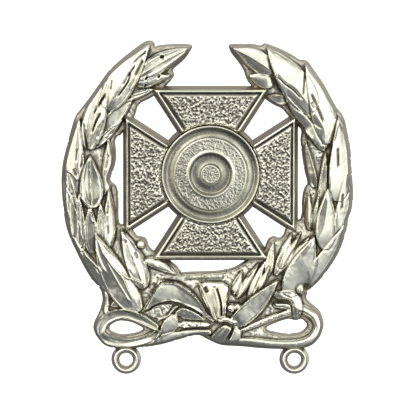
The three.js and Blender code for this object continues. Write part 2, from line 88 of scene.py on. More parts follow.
LEFT_OUTER = [
    (-1.6, 12.2), (-2.3, 12.42), (-4.9, 12.3), (-5.3, 12.05), (-5.3, 12.55), (-5.75, 12.75), (-6.4, 12.55),
    (-8.4, 11.05), (-9.65, 9.9), (-10, 9.45), (-11.3, 7.6), (-12.2, 6.4), (-12.95, 5.5), (-13.6, 3.2),
    (-14.15, 1), (-14.28, -0.6), (-14.2, -2.4), (-13.95, -4.7), (-13.5, -6.2), (-12.4, -8.5),
    (-11.5, -10.1), (-10.75, -10.9),
]
LEFT_FOOT = [(-9.6, -11), (-8.3, -11.5), (-7.4, -12.3), (-6.9, -13), (-6.4, -12.7), (-5, -10.35),
             (-3, -10)]
LEFT_INNER = [
    (-2.75, -9.45), (-3.2, -8.85), (-3.85, -8.35), (-4.6, -8.05), (-5.4, -7.4), (-5.9, -7), (-6.1, -6.2),
    (-6.6, -6), (-7, -6), (-7.5, -5.25), (-8.2, -4.85), (-8.8, -4.8), (-8.78, -1.9), (-9, -1.1),
    (-9.45, -0.78), (-9.6, -0.5), (-9.1, 0.8), (-8.95, 1.8), (-9.15, 3.3), (-8.45, 3.75), (-7.2, 5.4),
    (-6.9, 6.65), (-5.45, 7.3), (-4, 8.55), (-3.35, 9.45), (-3.65, 9.87), (-2.9, 10.5), (-2.3, 11.05),
]
RIGHT_INNER = [
    (1.68, 12.2), (1.9, 11.55), (2.74, 10.5), (3.15, 9.85), (3.35, 9.2), (3.6, 8.65), (5.3, 7), (6.1, 6.5),
    (6.85, 6.2), (7.3, 5.6), (8.3, 4.6), (8.7, 4.1), (8.55, 3.3), (8.72, 1.8), (8.95, 0.3), (9.3, -0.95),
    (9.05, -1.2), (8.85, -1.7), (8.7, -2.8), (8.7, -4.3), (8.1, -4.5), (7.15, -5.2), (7, -5.85),
    (6.6, -6.2), (6.05, -5.95), (5.55, -6.2), (5.25, -6.85), (4.9, -8.05), (3.65, -8.15), (3.15, -8.45),
    (2.4, -8.95), (1.5, -9.2),
]
RIGHT_FOOT = [
    (1.6, -10.6), (1.8, -12.4), (2.2, -14.1), (3.2, -14.6), (5.2, -13.9), (6.3, -12.4), (6.9, -11.3),
    (8.1, -11.4), (8.8, -11.55),
]
RIGHT_OUTER = [
    (9.4, -11.3), (10.5, -10.3), (11.4, -9.1), (12.1, -8), (12.65, -6.8), (13.15, -5.1), (13.15, -4.5),
    (13.55, -3.4), (13.7, -2), (13.5, 0.4), (13.4, 2.4), (13.1, 3.9), (12.85, 5.1), (12.5, 5.8),
    (12.05, 6.25), (10.8, 8.6), (9.8, 10), (9.35, 10.66), (8.95, 10.9), (8.5, 10.85), (7.8, 11.35),
    (6.8, 11.87), (5.45, 12.4), (5.1, 12.45), (4.78, 12.2), (4, 12.4), (1.95, 12.4),
]
BOW_TOP = [(-2.9, -9.5), (-2, -9.42), (0.6, -9.35)]
BOW_LOWER = [
    (9.15, -10.6), (9.35, -11.4), (9.15, -12), (9.8, -12.6), (10.55, -13.2), (10.95, -14.5), (10.6, -15.7),
    (9.8, -16.6), (8.5, -17), (5, -16.9), (3, -16.68), (1, -16.6), (-0.2, -16.05), (-1.2, -15.5),
    (-3, -16), (-5, -16.6), (-8.5, -17), (-10.2, -16.65), (-11.05, -15.6), (-11.3, -14.85),
    (-11.15, -14.2), (-10.62, -13.2), (-10.35, -12.2), (-10.45, -11.4), (-10.7, -11),
]
BOW_HOLES = [
    [(-6.3, -14.95), (-7.6, -14.3), (-8.8, -14.15), (-9.7, -14.65), (-9.6, -15.15), (-8.6, -15.5),
     (-7.2, -15.35)],
    [(4.95, -14.95), (7.4, -13.95), (8.2, -14.2), (8.75, -13.95), (9.35, -14.6), (8.7, -15.3), (7.2, -15.45)],
]

# ---- Drawing a relief ----


def smoothed(outline, rounds=2):
    """The closed outline with its corners cut, twice over, into short curves."""
    points = np.array(outline, float)
    for _ in range(rounds):
        following = np.roll(points, -1, axis=0)
        pairs = np.stack([points * 0.8 + following * 0.2, points * 0.2 + following * 0.8], axis=1)
        points = pairs.reshape(-1, 2)
    return points


def curve_points(points, steps=8):
    """Points along a Catmull-Rom curve through the given ones."""
    p = np.array(points, float)
    p = np.vstack([2 * p[0] - p[1], p, 2 * p[-1] - p[-2]])
    result = []
    for i in range(1, len(p) - 2):
        for t in np.linspace(0, 1, steps, endpoint=False):
            result.append(0.5 * (2 * p[i] + (p[i + 1] - p[i - 1]) * t
                                 + (2 * p[i - 1] - 5 * p[i] + 4 * p[i + 1] - p[i + 2]) * t ** 2
                                 + (3 * p[i] - p[i - 1] - 3 * p[i + 1] + p[i + 2]) * t ** 3))
    result.append(p[-2])
    return np.array(result)


def inside_distance(outline, x, z):
    """Distance to a closed outline, positive inside it."""
    best = np.full(x.shape, 1e9)
    inside = np.zeros(x.shape, bool)
    for (ax, az), (bx, bz) in zip(outline, np.roll(outline, -1, axis=0)):
        dx, dz = bx - ax, bz - az
        t = np.clip(((x - ax) * dx + (z - az) * dz) / (dx * dx + dz * dz + 1e-12), 0, 1)
        best = np.minimum(best, (x - ax - t * dx) ** 2 + (z - az - t * dz) ** 2)
        if dz:
            inside ^= ((az > z) != (bz > z)) & (x < ax + (z - az) * dx / dz)
    return np.where(inside, 1, -1) * np.sqrt(best)


def along_path(path, x, z):
    """How far along a path each place lies, from 0 to 1, and how far from it, positive on its left."""
    best = np.full(x.shape, 1e9)
    share = np.zeros(x.shape)
    side = np.zeros(x.shape)
    lengths = np.linalg.norm(np.diff(path, axis=0), axis=1)
    starts = np.concatenate([[0], np.cumsum(lengths)])
    for (ax, az), (bx, bz), start, length in zip(path[:-1], path[1:], starts, lengths):
        dx, dz = bx - ax, bz - az
        t = np.clip(((x - ax) * dx + (z - az) * dz) / (length ** 2 + 1e-12), 0, 1)
        gap = (x - ax - t * dx) ** 2 + (z - az - t * dz) ** 2
        nearer = gap < best
        best = np.where(nearer, gap, best)
        share = np.where(nearer, (start + t * length) / starts[-1], share)
        side = np.where(nearer, np.sign(dx * (z - az) - dz * (x - ax)), side)
    return share, side * np.sqrt(best)


def grain(x, z, size, seed):
    """Smooth random bumps of about the given size, from -1 to 1."""
    table = np.random.default_rng(seed).uniform(-1, 1, (256, 256))
    u, v = x / size + 1000, z / size + 1000
    i, j = np.floor(u).astype(int), np.floor(v).astype(int)
    fu, fv = u - i, v - j
    fu, fv = fu * fu * (3 - 2 * fu), fv * fv * (3 - 2 * fv)
    corner = lambda a, b: table[(i + a) % 256, (j + b) % 256]
    low = corner(0, 0) * (1 - fu) + corner(1, 0) * fu
    high = corner(0, 1) * (1 - fu) + corner(1, 1) * fu
    return low * (1 - fv) + high * fv


def soft_min(a, b, width):
    blend = np.clip(0.5 + 0.5 * (b - a) / width, 0, 1)
    return b * (1 - blend) + a * blend - width * blend * (1 - blend)


def blurred(heights, rounds):
    for _ in range(rounds):
        padded = np.pad(heights, 1, mode="edge")
        rows = (padded[:-2] + 2 * padded[1:-1] + padded[2:]) / 4
        heights = (rows[:, :-2] + 2 * rows[:, 1:-1] + rows[:, 2:]) / 4
    return heights


def edge_drop(edge):
    depth, width = EDGE_DROP
    return depth * np.exp(-np.clip(edge, 0, None) / width)


class Relief:
    """Heights above the back on a grid that covers an outline."""

    def __init__(self, outline, ground):
        low, high = np.min(outline, axis=0) - 4 * CELL, np.max(outline, axis=0) + 4 * CELL
        self.x = np.arange(low[0], high[0], CELL)
        self.z = np.arange(low[1], high[1], CELL)
        self.gx, self.gz = np.meshgrid(self.x, self.z)
        self.h = np.full(self.gx.shape, float(ground))

    def window(self, points, margin):
        """The part of the grid around some points, as slices, and its coordinates."""
        low, high = np.min(points, axis=0) - margin, np.max(points, axis=0) + margin
        columns = slice(*np.searchsorted(self.x, (low[0], high[0])))
        rows = slice(*np.searchsorted(self.z, (low[1], high[1])))
        return (rows, columns), self.gx[rows, columns], self.gz[rows, columns]

    def leaf(self, base, tip, half, bow, rise, section):
        """A pointed leaf whose midrib bows to the left, seen from its base. The section runs from its left
        edge, -1, to its right edge, 1, with heights above or below the midrib."""
        base, tip = np.array(base), np.array(tip)
        length = np.linalg.norm(tip - base)
        along = (tip - base) / length
        where, x, z = self.window([base, tip], half + abs(bow) + 0.5)
        u = ((x - base[0]) * along[0] + (z - base[1]) * along[1]) / length
        v = (x - base[0]) * along[1] - (z - base[1]) * along[0] + bow * 4 * u * (1 - u)
        t = np.clip(u, 0, 1)
        width = half * np.sin(np.pi * (0.07 + 0.93 * t ** 0.75)) ** 0.85 + 0.02
        edge = width - np.abs(v)
        over = np.maximum(0, np.abs(u - 0.5) - 0.5) * length
        fall = 0.2 * np.clip(1 - t / 0.35, 0, 1) ** 2 - 0.12 * np.clip((t - 0.35) / 0.65, 0, 1) ** 2
        h = rise * (1 - fall) + np.interp(v / width, *zip(*section))
        h = h - edge_drop(edge)
        inside = (edge > 0) & (over == 0)
        outside = np.hypot(np.clip(-edge, 0, None), over)
        ground = self.h[where] - 0.12 * np.exp(-(outside / 0.1) ** 2) * (outside > 0)
        self.h[where] = np.where(inside, np.maximum(self.h[where], h), ground)

    def ridge(self, path, half, height, taper=0.15):
        """Adds a soft ridge along a path, or a groove where the height is negative."""
        points = curve_points(path)
        where, x, z = self.window(points, half * 3)
        share, off = along_path(points, x, z)
        ends = np.clip(share / taper, 0, 1) * np.clip((1 - share) / taper, 0, 1)
        self.h[where] += height * ends * np.exp(-(off / half) ** 2)

    def band(self, path, halves, tops, round_off, rims=(0.0, 0.0), hollow=0.0):
        """A length of ribbon on the relief. Half widths and heights run from the path's start to its end."""
        points = curve_points(path)
        where, x, z = self.window(points, max(halves) + 0.4)
        share, off = along_path(points, x, z)
        width = np.interp(share, np.linspace(0, 1, len(halves)), halves)
        top = np.interp(share, np.linspace(0, 1, len(tops)), tops)
        s = np.abs(off) / width
        edge = (1 - s) * width
        rim = np.where(off > 0, rims[0], rims[1])
        h = top - round_off * s ** 2 - hollow * (1 - s ** 2) + rim * np.exp(-((edge - 0.09) / 0.07) ** 2)
        h = h - edge_drop(edge)
        ground = self.h[where] - 0.12 * np.exp(-(np.clip(-edge, 0, None) / 0.12) ** 2)
        self.h[where] = np.where(edge > 0, np.maximum(self.h[where], h), ground)

    def panel(self, outline, height, slope, swell=0.0, rough=0.0, seed=0, lower=False):
        """A sloping face inside an outline. It may swell in the middle, and may cut into what is there."""
        points = smoothed(outline, 1)
        where, x, z = self.window(points, 0.3)
        d = inside_distance(points, x, z)
        centre = points.mean(axis=0)
        h = height + slope[0] * (x - centre[0]) + slope[1] * (z - centre[1])
        h = h + swell * (1 - np.exp(-np.clip(d, 0, None) / 0.4))
        h = h + rough * (grain(x, z, 0.2, seed) + 0.6 * grain(x, z, 0.11, seed + 1))
        share = np.clip(d / 0.12, 0, 1)
        wanted = h if lower else np.maximum(self.h[where], h)
        self.h[where] = self.h[where] * (1 - share) + wanted * share

    def dome(self, x0, z0, radius, top):
        """A berry, or a wider swelling."""
        where, x, z = self.window([(x0, z0)], radius + 0.4)
        r = np.hypot(x - x0, z - z0) / radius
        ball = top - radius * (1 - np.sqrt(np.clip(1 - r ** 2, 0, 1)))
        ground = self.h[where] - 0.3 * np.exp(-(np.clip(r - 1, 0, None) * radius / 0.1) ** 2)
        self.h[where] = np.where(r < 1, np.maximum(self.h[where], ball), ground)

    def roughen(self, outline, size, depth, seed):
        """Adds grain inside an outline."""
        points = smoothed(outline, 1)
        where, x, z = self.window(points, 0.2)
        share = np.clip(inside_distance(points, x, z) / 0.15, 0, 1)
        self.h[where] += depth * share * (grain(x, z, size, seed) + 0.6 * grain(x, z, size * 0.5, seed + 1))


# ---- From a relief to a closed mesh ----


def kept_cells(region):
    """Cells whose corners all lie inside, without cells that touch only corner to corner."""
    inside = region > 0.3 * CELL
    cells = inside[:-1, :-1] & inside[1:, :-1] & inside[:-1, 1:] & inside[1:, 1:]
    for _ in range(4):
        a, b, c, d = cells[:-1, :-1], cells[:-1, 1:], cells[1:, :-1], cells[1:, 1:]
        a &= ~(a & d & ~b & ~c)
        b &= ~(b & c & ~a & ~d)
    return cells


def boundary_loops(quads):
    """The rims of a sheet of quads, each as a list of vertices in the direction of the quads' edges."""
    edges = np.concatenate([quads[:, [i, (i + 1) % 4]] for i in range(4)])
    codes = edges[:, 0].astype(np.int64) * (1 << 32) + edges[:, 1]
    backward = edges[:, 1].astype(np.int64) * (1 << 32) + edges[:, 0]
    rim = edges[~np.isin(codes, backward)]
    following = dict(rim.tolist())
    loops = []
    while following:
        start, at = following.popitem()
        loop = [start]
        while at != start:
            loop.append(at)
            at = following.pop(at)
        loops.append(loop)
    return loops


def grid_quads(cells):
    """The grid places of the vertices that the kept cells use, and the cells as faces on those vertices."""
    rows, columns = np.nonzero(cells)
    count = cells.shape[1] + 1
    corners = rows * count + columns
    quads = np.stack([corners, corners + 1, corners + count + 1, corners + count], axis=1)
    used, quads = np.unique(quads, return_inverse=True)
    return used, quads.reshape(-1, 4)


def back_surface(relief, region, base, hollow):
    """A coarser grid for the back, which is sunk a little behind the relief, as a struck badge's is."""
    step = (slice(None, None, BACK_STEP), slice(None, None, BACK_STEP))
    used, quads = grid_quads(kept_cells(region[step] - BACK_MARGIN))
    depth = np.clip(blurred(relief.h, 40) - 1.3, 0, 0.9) * np.clip((region - 0.4) / 0.7, 0, 1) * hollow
    x, z, depth = (values[step].ravel()[used] for values in (relief.gx, relief.gz, depth))
    return np.stack([x * MM, -(base + depth) * MM, z * MM], axis=1).tolist(), quads.tolist()


def turning(a, b, c):
    """Positive where the way from a over b to c turns left."""
    return (b[:, 0] - a[:, 0]) * (c[:, 1] - a[:, 1]) - (b[:, 1] - a[:, 1]) * (c[:, 0] - a[:, 0])


def uncross(places, grid_places, loop):
    """Puts a rim's vertices back on the grid where moving them onto the outline made it cross itself."""
    for reach in (2, 3, 4, 5, 6) * 3:
        a = places[loop]
        b, c, d = np.roll(a, -1, 0), np.roll(a, -reach, 0), np.roll(a, -reach - 1, 0)
        crossed = (turning(a, b, c) * turning(a, b, d) <= 0) & (turning(c, d, a) * turning(c, d, b) <= 0)
        near = np.nonzero(crossed)[0][:, None] + np.arange(reach + 2)
        back_on_grid = loop[near.ravel() % len(loop)]
        places[back_on_grid] = grid_places[back_on_grid]


def relief_mesh(name, relief, region, silhouette, base, hollow):
    """A closed mesh of the relief over a region, which is a distance that is positive inside. At the
    silhouette the surface comes down to the back, and elsewhere it ends in an upright face. The front's
    vertices come first, and their number is returned too."""
    used, quads = grid_quads(kept_cells(region))
    x, z, h = relief.gx.ravel()[used], relief.gz.ravel()[used], relief.h.ravel()[used].copy()
    loops = boundary_loops(quads)
    rim = np.array([i for loop in loops for i in loop])
    slope_z, slope_x = np.gradient(region, CELL)
    gx, gz, d = slope_x.ravel()[used][rim], slope_z.ravel()[used][rim], region.ravel()[used][rim]
    steep = np.maximum(np.hypot(gx, gz), 0.5)
    grid_places = np.stack([x, z], axis=1)
    places = grid_places.copy()
    places[rim] -= np.stack([gx, gz], axis=1) * (d / steep)[:, None]
    for loop in loops:
        uncross(places, grid_places, np.array(loop))
    x, z = places.T
    at_wall = silhouette.ravel()[used][rim] < d + 0.12
    h[rim] = np.where(at_wall, base, h[rim])
    vertices = np.stack([x * MM, -h * MM, z * MM], axis=1).tolist()
    front = len(vertices)
    faces = quads.tolist()
    low_loops = []
    for loop in loops:
        low = []
        for i in loop:
            if h[i] > base:
                low.append(len(vertices))
                vertices.append([x[i] * MM, -base * MM, z[i] * MM])
            else:
                low.append(i)
        low_loops.append(low)
        for i in range(len(loop)):
            j = (i + 1) % len(loop)
            ring = [loop[j], loop[i], low[i], low[j]]
            corners = [v for k, v in enumerate(ring) if v != ring[k - 1]]
            if len(corners) > 2:
                faces.append(corners)
    back_vertices, back_quads = back_surface(relief, region, base, hollow)
    first = len(vertices)
    vertices += back_vertices
    back_quads = [[first + i for i in quad] for quad in back_quads]
    faces += [quad[::-1] for quad in back_quads]
    low_loops += boundary_loops(np.array(back_quads))
    order = [i for low in low_loops for i in low]
    outlines = [[Vector((vertices[i][0] / MM, vertices[i][2] / MM, 0)) for i in low] for low in low_loops]
    for triangle in geometry.tessellate_polygon(outlines):
        a, b, c = (Vector((vertices[order[i]][0], vertices[order[i]][2])) for i in triangle)
        turn = (b - a).cross(c - a)
        corners = [order[i] for i in triangle]
        if turn:
            faces.append(corners[::-1] if turn > 0 else corners)
    return new_mesh(name, vertices, faces), front


def new_mesh(name, vertices, faces):
    mesh = bpy.data.meshes.new(name)
    mesh.from_pydata(vertices, [], faces)
    return mesh


def stands_out(relief, contrast):
    """How far each place stands out of its surroundings, for the silvering: patina where it lies low, and
    polish from wear and painted highlight where it stands out.
    """
    fine = relief.h - blurred(relief.h, 12)
    wide = relief.h - blurred(relief.h, 60)
    return np.clip(0.5 + contrast * (2.2 * fine + 0.6 * wide), 0, 1)


def sampled(values, relief, x, z):
    """The grid's values nearest to some places."""
    i = np.clip(((z - relief.z[0]) / CELL).round().astype(int), 0, values.shape[0] - 1)
    j = np.clip(((x - relief.x[0]) / CELL).round().astype(int), 0, values.shape[1] - 1)
    return values[i, j]


def add_relief_values(mesh, front, relief, silhouette, contrast, back_tone):
    """Values for the silvered material, which are constant behind the front's vertices."""
    # The wall value marks where the painted shade of the side walls goes: the leaning walls near the
    # silhouette.
    wall = np.clip((DRAFT + 0.03 - silhouette) / 0.08, 0, 1)
    co = vertex_places(mesh)
    for label, values, behind in (
        ("stands_out", stands_out(relief, contrast), back_tone),
        ("wall", wall, BACK_ON_WALL),
    ):
        values = sampled(values, relief, co[:, 0], co[:, 2])
        values[front:] = behind
        add_values(mesh, label, values)


def vertex_places(mesh):
    """The mesh's vertices in millimetres."""
    co = np.zeros(len(mesh.vertices) * 3)
    mesh.vertices.foreach_get("co", co)
    return co.reshape(-1, 3) / MM


def add_values(mesh, label, values):
    layer = mesh.attributes.new(label, "FLOAT", "POINT")
    layer.data.foreach_set("value", np.asarray(values, np.float32))


def add_object(name, data):
    thing = bpy.data.objects.new(name, data)
    bpy.context.scene.collection.objects.link(thing)
    return thing


def add_smooth(name, mesh, material):
    for polygon in mesh.polygons:
        polygon.use_smooth = True
    mesh.materials.append(material)
    return add_object(name, mesh)


def add_piece(name, mesh, material, replaced):
    piece = add_smooth(name, mesh, material)
    mesh.set_sharp_from_angle(angle=math.radians(CREASE_ANGLE))
    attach(piece, "badge")
    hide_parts(*replaced)


# ---- Silhouette of the whole badge ----


def cross_distances(x, z):
    """Distances inside the top edge of an arm, to its sides and to its end."""
    reach = np.maximum(np.abs(x), np.abs(z))
    across = np.minimum(np.abs(x), np.abs(z))
    run = np.array([ARM_END - ARM_NECK[0], CROSS_HALF - ARM_NECK[1]])
    run /= np.linalg.norm(run)
    side = (ARM_END - across) * run[1] - (CROSS_HALF - reach) * run[0]
    return side, CROSS_HALF - reach


def cross_region(x, z):
    side, end = cross_distances(x, z)
    return np.maximum(np.minimum(side, end) + DRAFT, HUB - np.hypot(x, z))


left_outline = smoothed(LEFT_OUTER + LEFT_FOOT + LEFT_INNER)
right_outline = smoothed(RIGHT_INNER + RIGHT_FOOT + RIGHT_OUTER)
bow_outline = smoothed(BOW_TOP + RIGHT_INNER[-1:] + RIGHT_FOOT + BOW_LOWER + LEFT_FOOT)
wreath_outer = LEFT_OUTER + BOW_LOWER[::-1] + RIGHT_OUTER
wreath_outline = smoothed(wreath_outer + RIGHT_INNER + BOW_TOP[::-1] + LEFT_INNER)
holes = [smoothed(hole) for hole in BOW_HOLES]


def silhouette_distance(x, z):
    """Distance inside the badge's outer edge."""
    result = np.maximum(cross_region(x, z), inside_distance(wreath_outline, x, z))
    for hole in holes:
        result = np.minimum(result, -inside_distance(hole, x, z))
    return result


def finish_relief(relief, silhouette):
    """Trims a relief to the leaning side walls and softens it as polishing and plating do."""
    deepest_pit = 0.32  # below the mean height around it
    edge_fall = 0.38  # share of its height that the relief loses towards the walls
    relief.h = np.maximum(relief.h, blurred(relief.h, 120) - deepest_pit)
    d = np.clip(silhouette, 0, None)
    past = np.clip(d - DRAFT, 0, None)
    arch = 1 - edge_fall * np.exp(-past / 2)
    crown = WALL + 1.3 * (1 - np.exp(-past / 0.35))
    relief.h = relief.h * arch + 0.012 * grain(relief.gx, relief.gz, 0.35, 5)
    limit = np.where(d < DRAFT, d * WALL / DRAFT, crown)
    relief.h = blurred(soft_min(relief.h, limit, 0.06), 1)


# ---- Leaves ----

# Sections across a leaf: share of the half width, from its left edge to its right, and height.
BROAD = [(-1, -0.42), (-0.6, -0.14), (0, 0), (0.5, -0.1), (1, -0.36)]
RIBBED = [(-1, -0.4), (-0.62, 0), (-0.5, -0.2), (-0.14, -0.24), (0, 0.02), (0.14, -0.24), (0.45, -0.2),
          (0.6, 0), (1, -0.4)]
HOLLOW = [(-1, -0.25), (-0.75, 0), (-0.5, -0.3), (0.5, -0.3), (0.75, 0), (1, -0.25)]
NARROW = [(-1, -0.45), (-0.1, 0), (0.1, 0), (1, -0.45)]
PLAIN = [(-1, -0.1), (-0.9, 0.06), (-0.78, 0.02), (0, -0.06), (0.6, -0.2), (1, -0.42)]
VEINED = [(-1, -0.35), (-0.86, 0.02), (-0.7, -0.02), (-0.5, -0.25), (-0.14, -0.28), (-0.04, 0.02),
          (0.04, 0.02), (0.12, -0.25), (0.8, 0.05), (1, -0.3)]
BLADE = [(-1, -0.35), (-0.92, 0), (-0.8, -0.16), (-0.1, -0.1), (0, 0.02), (0.08, -0.08), (0.45, -0.12),
         (1, -0.5)]
TRAY = [(-1, -0.2), (-0.88, 0.08), (-0.72, -0.14), (0.3, -0.2), (0.65, -0.16), (1, -0.45)]
BLADE_RIGHT = [(-share, height) for share, height in BLADE[::-1]]

LEFT_LEAVES = [
    ((-9.8, -7.2), (-9.7, -1.3), 0.66, -0.1, 2.1, BROAD),
    ((-10.15, -2), (-9.75, 3.5), 0.6, -0.22, 2.1, BROAD),
    ((-11, 2.6), (-8.35, 5.2), 0.45, 0, 1.95, RIBBED),
    ((-10.6, 3.6), (-7.35, 7.3), 0.8, 0.1, 1.95, HOLLOW),
    ((-8.9, 7.1), (-5.3, 8.1), 0.5, 0, 1.85, RIBBED),
    ((-7.4, 8.6), (-3.75, 9.4), 0.65, 0, 1.95, BROAD),
    ((-7, 9.2), (-1.95, 12), 0.95, 0.15, 2.15, RIBBED),
    ((-12.9, -5.2), (-13.6, 0.4), 0.62, 0, 2.3, HOLLOW),
    ((-12.1, -8.3), (-13.3, -2), 0.62, 0.15, 2.2, HOLLOW),
    ((-9.6, -11), (-13, -6), 0.7, 0.4, 2.2, BLADE),
    ((-12.3, -7.4), (-12.5, -1.8), 0.55, 0, 2.25, RIBBED),
    ((-11.3, -7.6), (-11.5, -2.8), 0.7, 0, 2.2, HOLLOW),
    ((-10.3, -6.6), (-10.5, -2.6), 0.5, 0, 2.15, RIBBED),
    ((-8.6, -11.6), (-12.2, -7.1), 0.7, 0.3, 2.3, BLADE),
    ((-6.9, -13.2), (-10.95, -5.6), 1.35, 0.35, 2.4, BLADE),
    ((-6.3, -10.9), (-8.5, -5.3), 0.95, -0.1, 2.25, BLADE),
    ((-6.3, -8.2), (-3.25, -9.65), 0.55, 0.2, 2, BROAD),
    ((-12.9, -1.9), (-12.45, 5.35), 1, 0.3, 2.3, BROAD),
    ((-11.25, -3.25), (-11.5, 1.75), 1.15, 0, 2.4, VEINED),
    ((-11.6, 2.4), (-9.75, 9.25), 1.1, 0.2, 2.35, VEINED),
    ((-9.7, 6), (-9.2, 9), 0.4, 0, 2, NARROW),
    ((-9.9, 6.2), (-5.75, 12.35), 1.4, 0.3, 2.4, BLADE_RIGHT),
]
RIGHT_LEAVES = [
    ((10, -1.3), (9.1, 3.1), 0.55, 0.25, 2, HOLLOW),
    ((9.5, -5.4), (9.35, -1.7), 0.4, 0.05, 2, NARROW),
    ((9.95, -5.5), (10.25, -2), 0.4, 0, 1.95, NARROW),
    ((10.9, 2.2), (8.1, 5.3), 0.4, -0.1, 1.9, NARROW),
    ((7.3, 7), (5.3, 7.4), 0.55, 0.1, 1.8, HOLLOW),
    ((6, 8.6), (3.6, 9.4), 0.75, 0, 1.9, PLAIN),
    ((6, 9.7), (2, 12.05), 1, -0.15, 2.1, BLADE_RIGHT),
    ((10.5, -3.2), (10.95, 2.1), 0.4, 0, 2.1, HOLLOW),
    ((11, 2.6), (6.95, 7.7), 0.8, -0.1, 2.2, PLAIN),
    ((6.7, -9.4), (9.4, -6.1), 0.5, 0, 2, NARROW),
    ((6.2, -9.7), (7.75, -5.7), 0.5, 0, 2, RIBBED),
    ((5.4, -9.8), (5.95, -6.5), 0.48, 0, 2, RIBBED),
    ((6.6, -9), (8.6, -5.6), 0.35, 0, 2, NARROW),
    ((3.6, -12), (5.2, -8.3), 0.42, 0, 2, RIBBED),
    ((2.5, -11.9), (4.6, -8.6), 0.42, 0, 1.9, NARROW),
    ((2.2, -11.6), (3, -9.3), 0.45, 0, 1.8, NARROW),
    ((4.5, -11.2), (5.6, -8.9), 0.4, 0, 2, NARROW),
    ((12.2, -6.4), (12.95, 0), 0.8, -0.15, 2.25, PLAIN),
    ((8.9, -11.4), (12.75, -4.9), 1.05, -0.25, 2.25, PLAIN),
    ((10.9, -7.2), (11.2, -1.3), 1, 0, 2.3, PLAIN),
    ((12.1, -2.6), (12.15, 5.45), 1.15, -0.3, 2.35, PLAIN),
    ((10.85, 2.4), (11.7, 4.6), 0.35, 0, 2, NARROW),
    ((7.3, -11.6), (9.9, -5.9), 1.3, -0.2, 2.4, PLAIN),
    ((1.9, -14.6), (6.5, -10.05), 0.95, -0.2, 2.35, TRAY),
    ((11.3, 2.9), (9, 10.5), 1.15, -0.3, 2.35, PLAIN),
    ((9.8, 6), (5.35, 12.1), 1.45, -0.1, 2.35, PLAIN),
]

# Strokes on the leaves: points, half width and height, below zero for a groove.
LEFT_STROKES = [
    ([(-5.8, 12.1), (-6.1, 10.6), (-6.9, 8.9), (-7.6, 8)], 0.14, 0.3),
    ([(-6.05, 11.7), (-6.7, 11.2), (-7.4, 10.5)], 0.07, -0.35),
    ([(-7.6, 9.8), (-7.85, 8.8), (-8.9, 7.3)], 0.08, -0.4),
    ([(-7.1, 10.4), (-7.6, 9.7), (-8.4, 8.4)], 0.06, -0.3),
    ([(-9.35, 9), (-9.5, 8)], 0.06, -0.3),
    ([(-9.9, 7.7), (-10.5, 6.8), (-11.1, 5.7)], 0.09, -0.45),
    ([(-6.4, 10.9), (-7.2, 9.3)], 0.12, -0.3),
    ([(-4.8, 11.25), (-4.4, 11.15)], 0.14, -0.6),
    ([(-6.15, 9.2), (-6, 9.1)], 0.16, -0.7),
    ([(-5, 9.3), (-4.8, 9.25)], 0.12, -0.5),
    ([(-6.25, 8.5), (-6.1, 8.4)], 0.16, -0.7),
    ([(-11.3, 3.9), (-10.9, 5), (-10.4, 5.9)], 0.07, -0.35),
    ([(-10.8, 3.4), (-10.4, 4.2), (-10.1, 5.2)], 0.07, -0.3),
    ([(-12.8, 1.2), (-12.75, 1.9), (-12.65, 2.45)], 0.06, -0.3),
    ([(-12.35, 0.6), (-12.2, 1.3), (-12.15, 2.1)], 0.1, -0.35),
    ([(-11.75, 2), (-11.8, 3.1), (-12, 4.2), (-12.1, 5)], 0.07, -0.3),
    ([(-13.8, 0.4), (-13.2, 0.15), (-12.6, -0.6)], 0.09, 0.25),
    ([(-13, 0.5), (-12.75, -0.1)], 0.12, -0.3),
    ([(-13.75, -0.1), (-13.6, -1.4), (-13.3, -2.4)], 0.1, 0.15),
    ([(-12.5, -1.8), (-12.75, -3.6), (-12.6, -5.6)], 0.13, 0.2),
    ([(-12.3, -2.1), (-11.8, -2.7), (-11.3, -3.1), (-10.7, -2.9), (-10.1, -1.8)], 0.11, 0.25),
    ([(-11.4, -1.4), (-11.2, -2.7)], 0.07, 0.2),
    ([(-11.3, -3.2), (-11.35, -4.1), (-11.1, -4.7)], 0.09, 0.2),
    ([(-10.85, -4.1), (-10.95, -5.8), (-10.85, -7.2), (-10.6, -8.1), (-10.3, -8.8), (-9.8, -9.5)], 0.11,
     0.22),
    ([(-10.3, 2.5), (-10.2, 2.1)], 0.09, -0.3),
    ([(-9.7, 1.9), (-9.8, 1.2), (-10, 0.4)], 0.08, -0.25),
    ([(-9.7, -3), (-9.85, -3.9)], 0.06, -0.25),
    ([(-9.75, -4.9), (-9.7, -5.8)], 0.07, -0.25),
    ([(-10.4, -7.1), (-9.9, -7.9), (-9.2, -8.9), (-8.4, -9.8), (-8, -10.7), (-7.4, -12)], 0.07, 0.2),
    ([(-12, -7.6), (-11, -8.6), (-10.3, -9.4)], 0.08, 0.2),
    ([(-8.6, -9.2), (-8, -9.8), (-6.9, -10.2), (-6.3, -10.6)], 0.09, 0.22),
    ([(-9.2, -7.2), (-8.2, -8.3), (-7.3, -9.5)], 0.2, 0.15),
    ([(-7.2, -7.4), (-6.9, -8)], 0.1, -0.3),
    ([(-8.2, -6.2), (-8, -6.6)], 0.12, -0.3),
    ([(-9.3, -6.4), (-9.25, -6.7)], 0.1, -0.3),
]
RIGHT_STROKES = [
    ([(6.2, 9.6), (7, 8.7), (7.8, 8.1), (8.8, 7.1)], 0.07, -0.3),
    ([(5.5, 11.5), (5.9, 10.1), (6.5, 8.8)], 0.08, 0.15),
    ([(9.1, 10.6), (8.9, 9), (8.8, 7.3)], 0.06, -0.25),
    ([(9.5, 7.8), (10.1, 6.5), (10.8, 4.8)], 0.08, -0.3),
    ([(9.6, 6.9), (9.9, 6.4)], 0.15, -0.2),
    ([(7.2, 7.6), (8.4, 6.4), (9.7, 5), (10.6, 4.3)], 0.07, -0.25),
    ([(12.1, 2.6), (12.15, 0.6)], 0.07, -0.3),
    ([(12.6, -1.8), (12.5, -3.4)], 0.07, -0.3),
    ([(12.3, 5.4), (11.6, 3), (10.9, 0.9)], 0.07, 0.15),
]


